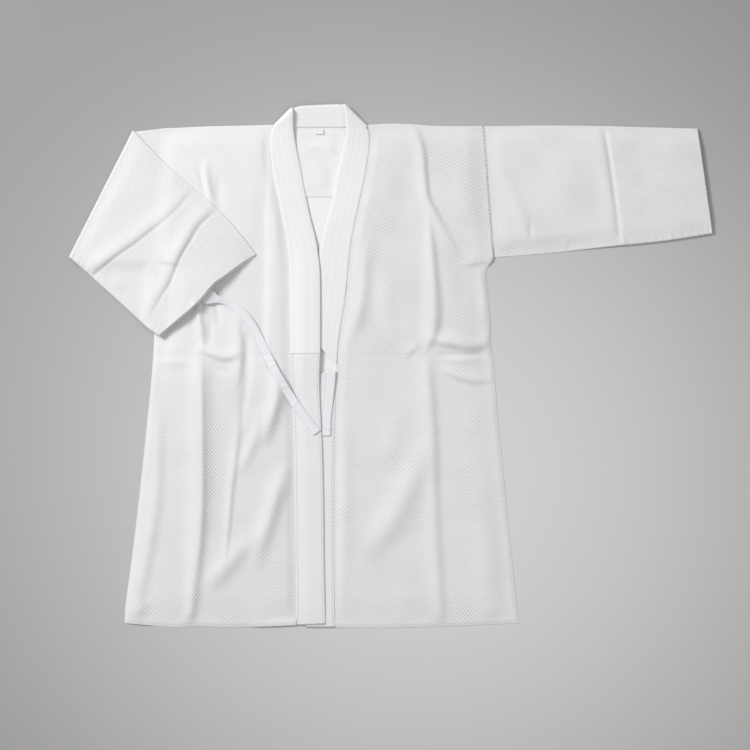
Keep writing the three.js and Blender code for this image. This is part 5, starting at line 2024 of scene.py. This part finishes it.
@dataclass
class Studio:
    """The camera straight above, a pale floor with a painted pool of light, and soft lights from the upper
    left.

    Attributes:
        centre: Point of the jacket's frame under the camera, in millimetres.
        height: Height of the camera, in metres.
        view: Width of what the camera sees at the floor, in metres.
    """

    centre: tuple[float, float] = (90.1, -35.7)
    height: float = 4.0
    view: float = 1.275

    def camera(self) -> None:
        """A camera that looks straight down, with the jacket's collar at the top of its frame."""
        data = bpy.data.cameras.new("camera")
        data.sensor_width = 36.0
        data.lens = 36.0 * self.height / self.view
        data.clip_end = 50.0
        made = bpy.data.objects.new("camera", data)
        made.location = (self.centre[0] * MM, self.centre[1] * MM, self.height)
        bpy.context.scene.collection.objects.link(made)
        bpy.context.scene.camera = made

    def floor(self) -> None:
        """A large pale floor with a painted pool of light round the jacket's skirt, its colour darker away
        from it.
        """
        mesh = bpy.data.meshes.new("floor")
        side = 6.0
        corners = [(-side, -side, 0), (side, -side, 0), (side, side, 0), (-side, side, 0)]
        mesh.from_pydata(corners, [], [(0, 1, 2, 3)])
        made = bpy.data.objects.new("floor", mesh)
        bpy.context.scene.collection.objects.link(made)
        n = Nodes("floor")
        # Painted pool of light: the floor's colour runs from bright round the skirt to dark far from it.
        place = n.node("ShaderNodeTexCoord").outputs["Object"]
        moved = n.node(
            "ShaderNodeMapping",
            {"vector_type": "TEXTURE"},
            {0: place, 1: (0.20, -0.25, 0.0), 3: (1.0, 1.0, 1.0)},
        ).outputs[0]
        away = n.node("ShaderNodeVectorMath", {"operation": "LENGTH"}, {0: moved}).outputs["Value"]
        level = n.node("ShaderNodeMapRange", inputs={"Value": away, 1: 0.0, 2: 1.1, 3: 1.0, 4: 0.0})
        level.interpolation_type = "SMOOTHSTEP"
        tint = n.node(
            "ShaderNodeMix",
            {"data_type": "RGBA"},
            {0: level.outputs[0], 6: (0.32, 0.316, 0.316, 1), 7: (0.69, 0.677, 0.664, 1)},
        )
        n.put(tint.outputs[2], n.shader.inputs["Base Color"])
        n.shader.inputs["Roughness"].default_value = 0.95
        n.shader.inputs["Specular IOR Level"].default_value = 0.1
        made.data.materials.append(n.material)

    def light(self, name: str, at: tuple[float, float, float], size: float, power: float) -> None:
        """A square area light aimed at the jacket's middle.

        Args:
            name: The light's name.
            at: Its place, in metres.
            size: Its side, in metres.
            power: Its power, in watts.
        """
        data = bpy.data.lights.new(name, "AREA")
        data.shape = "SQUARE"
        data.size = size
        data.energy = power
        made = bpy.data.objects.new(name, data)
        made.location = at
        aim = Vector((self.centre[0] * MM, self.centre[1] * MM, 0)) - Vector(at)
        made.rotation_mode = "QUATERNION"
        made.rotation_quaternion = aim.to_track_quat("-Z", "Y")
        bpy.context.scene.collection.objects.link(made)

    def lights(self) -> None:
        """A key light from the upper left, a weak fill from the right, and an even sky."""
        for name, row in LIGHTS.items():
            self.light(name, **row)
        world = bpy.data.worlds.new("studio")
        world.use_nodes = True
        background = world.node_tree.nodes["Background"]
        background.inputs["Color"].default_value = (0.98, 0.99, 1.0, 1.0)
        background.inputs["Strength"].default_value = 0.42
        bpy.context.scene.world = world

    def build(self) -> None:
        """Sets up the camera, the floor, the lights and the plain view transform."""
        self.camera()
        self.floor()
        self.lights()
        bpy.context.scene.view_settings.view_transform = "Standard"


def main() -> None:
    """Builds the studio, then the jacket from the back to the ties."""
    Studio().build()
    wardrobe = Wardrobe()
    Back().build(wardrobe)
    right, left = Front(Side.RIGHT), Front(Side.LEFT)
    right.build(wardrobe)
    left.build(wardrobe)
    FlatSleeve().build(wardrobe)
    FoldedSleeve(right).build(wardrobe)
    Collar().build(wardrobe)
    bands = FrontBands()
    bands.build(wardrobe)
    Ties(right, bands).build(wardrobe)


if __name__ == "__main__":
    logging.basicConfig(level=logging.INFO, format="%(message)s")
    main()
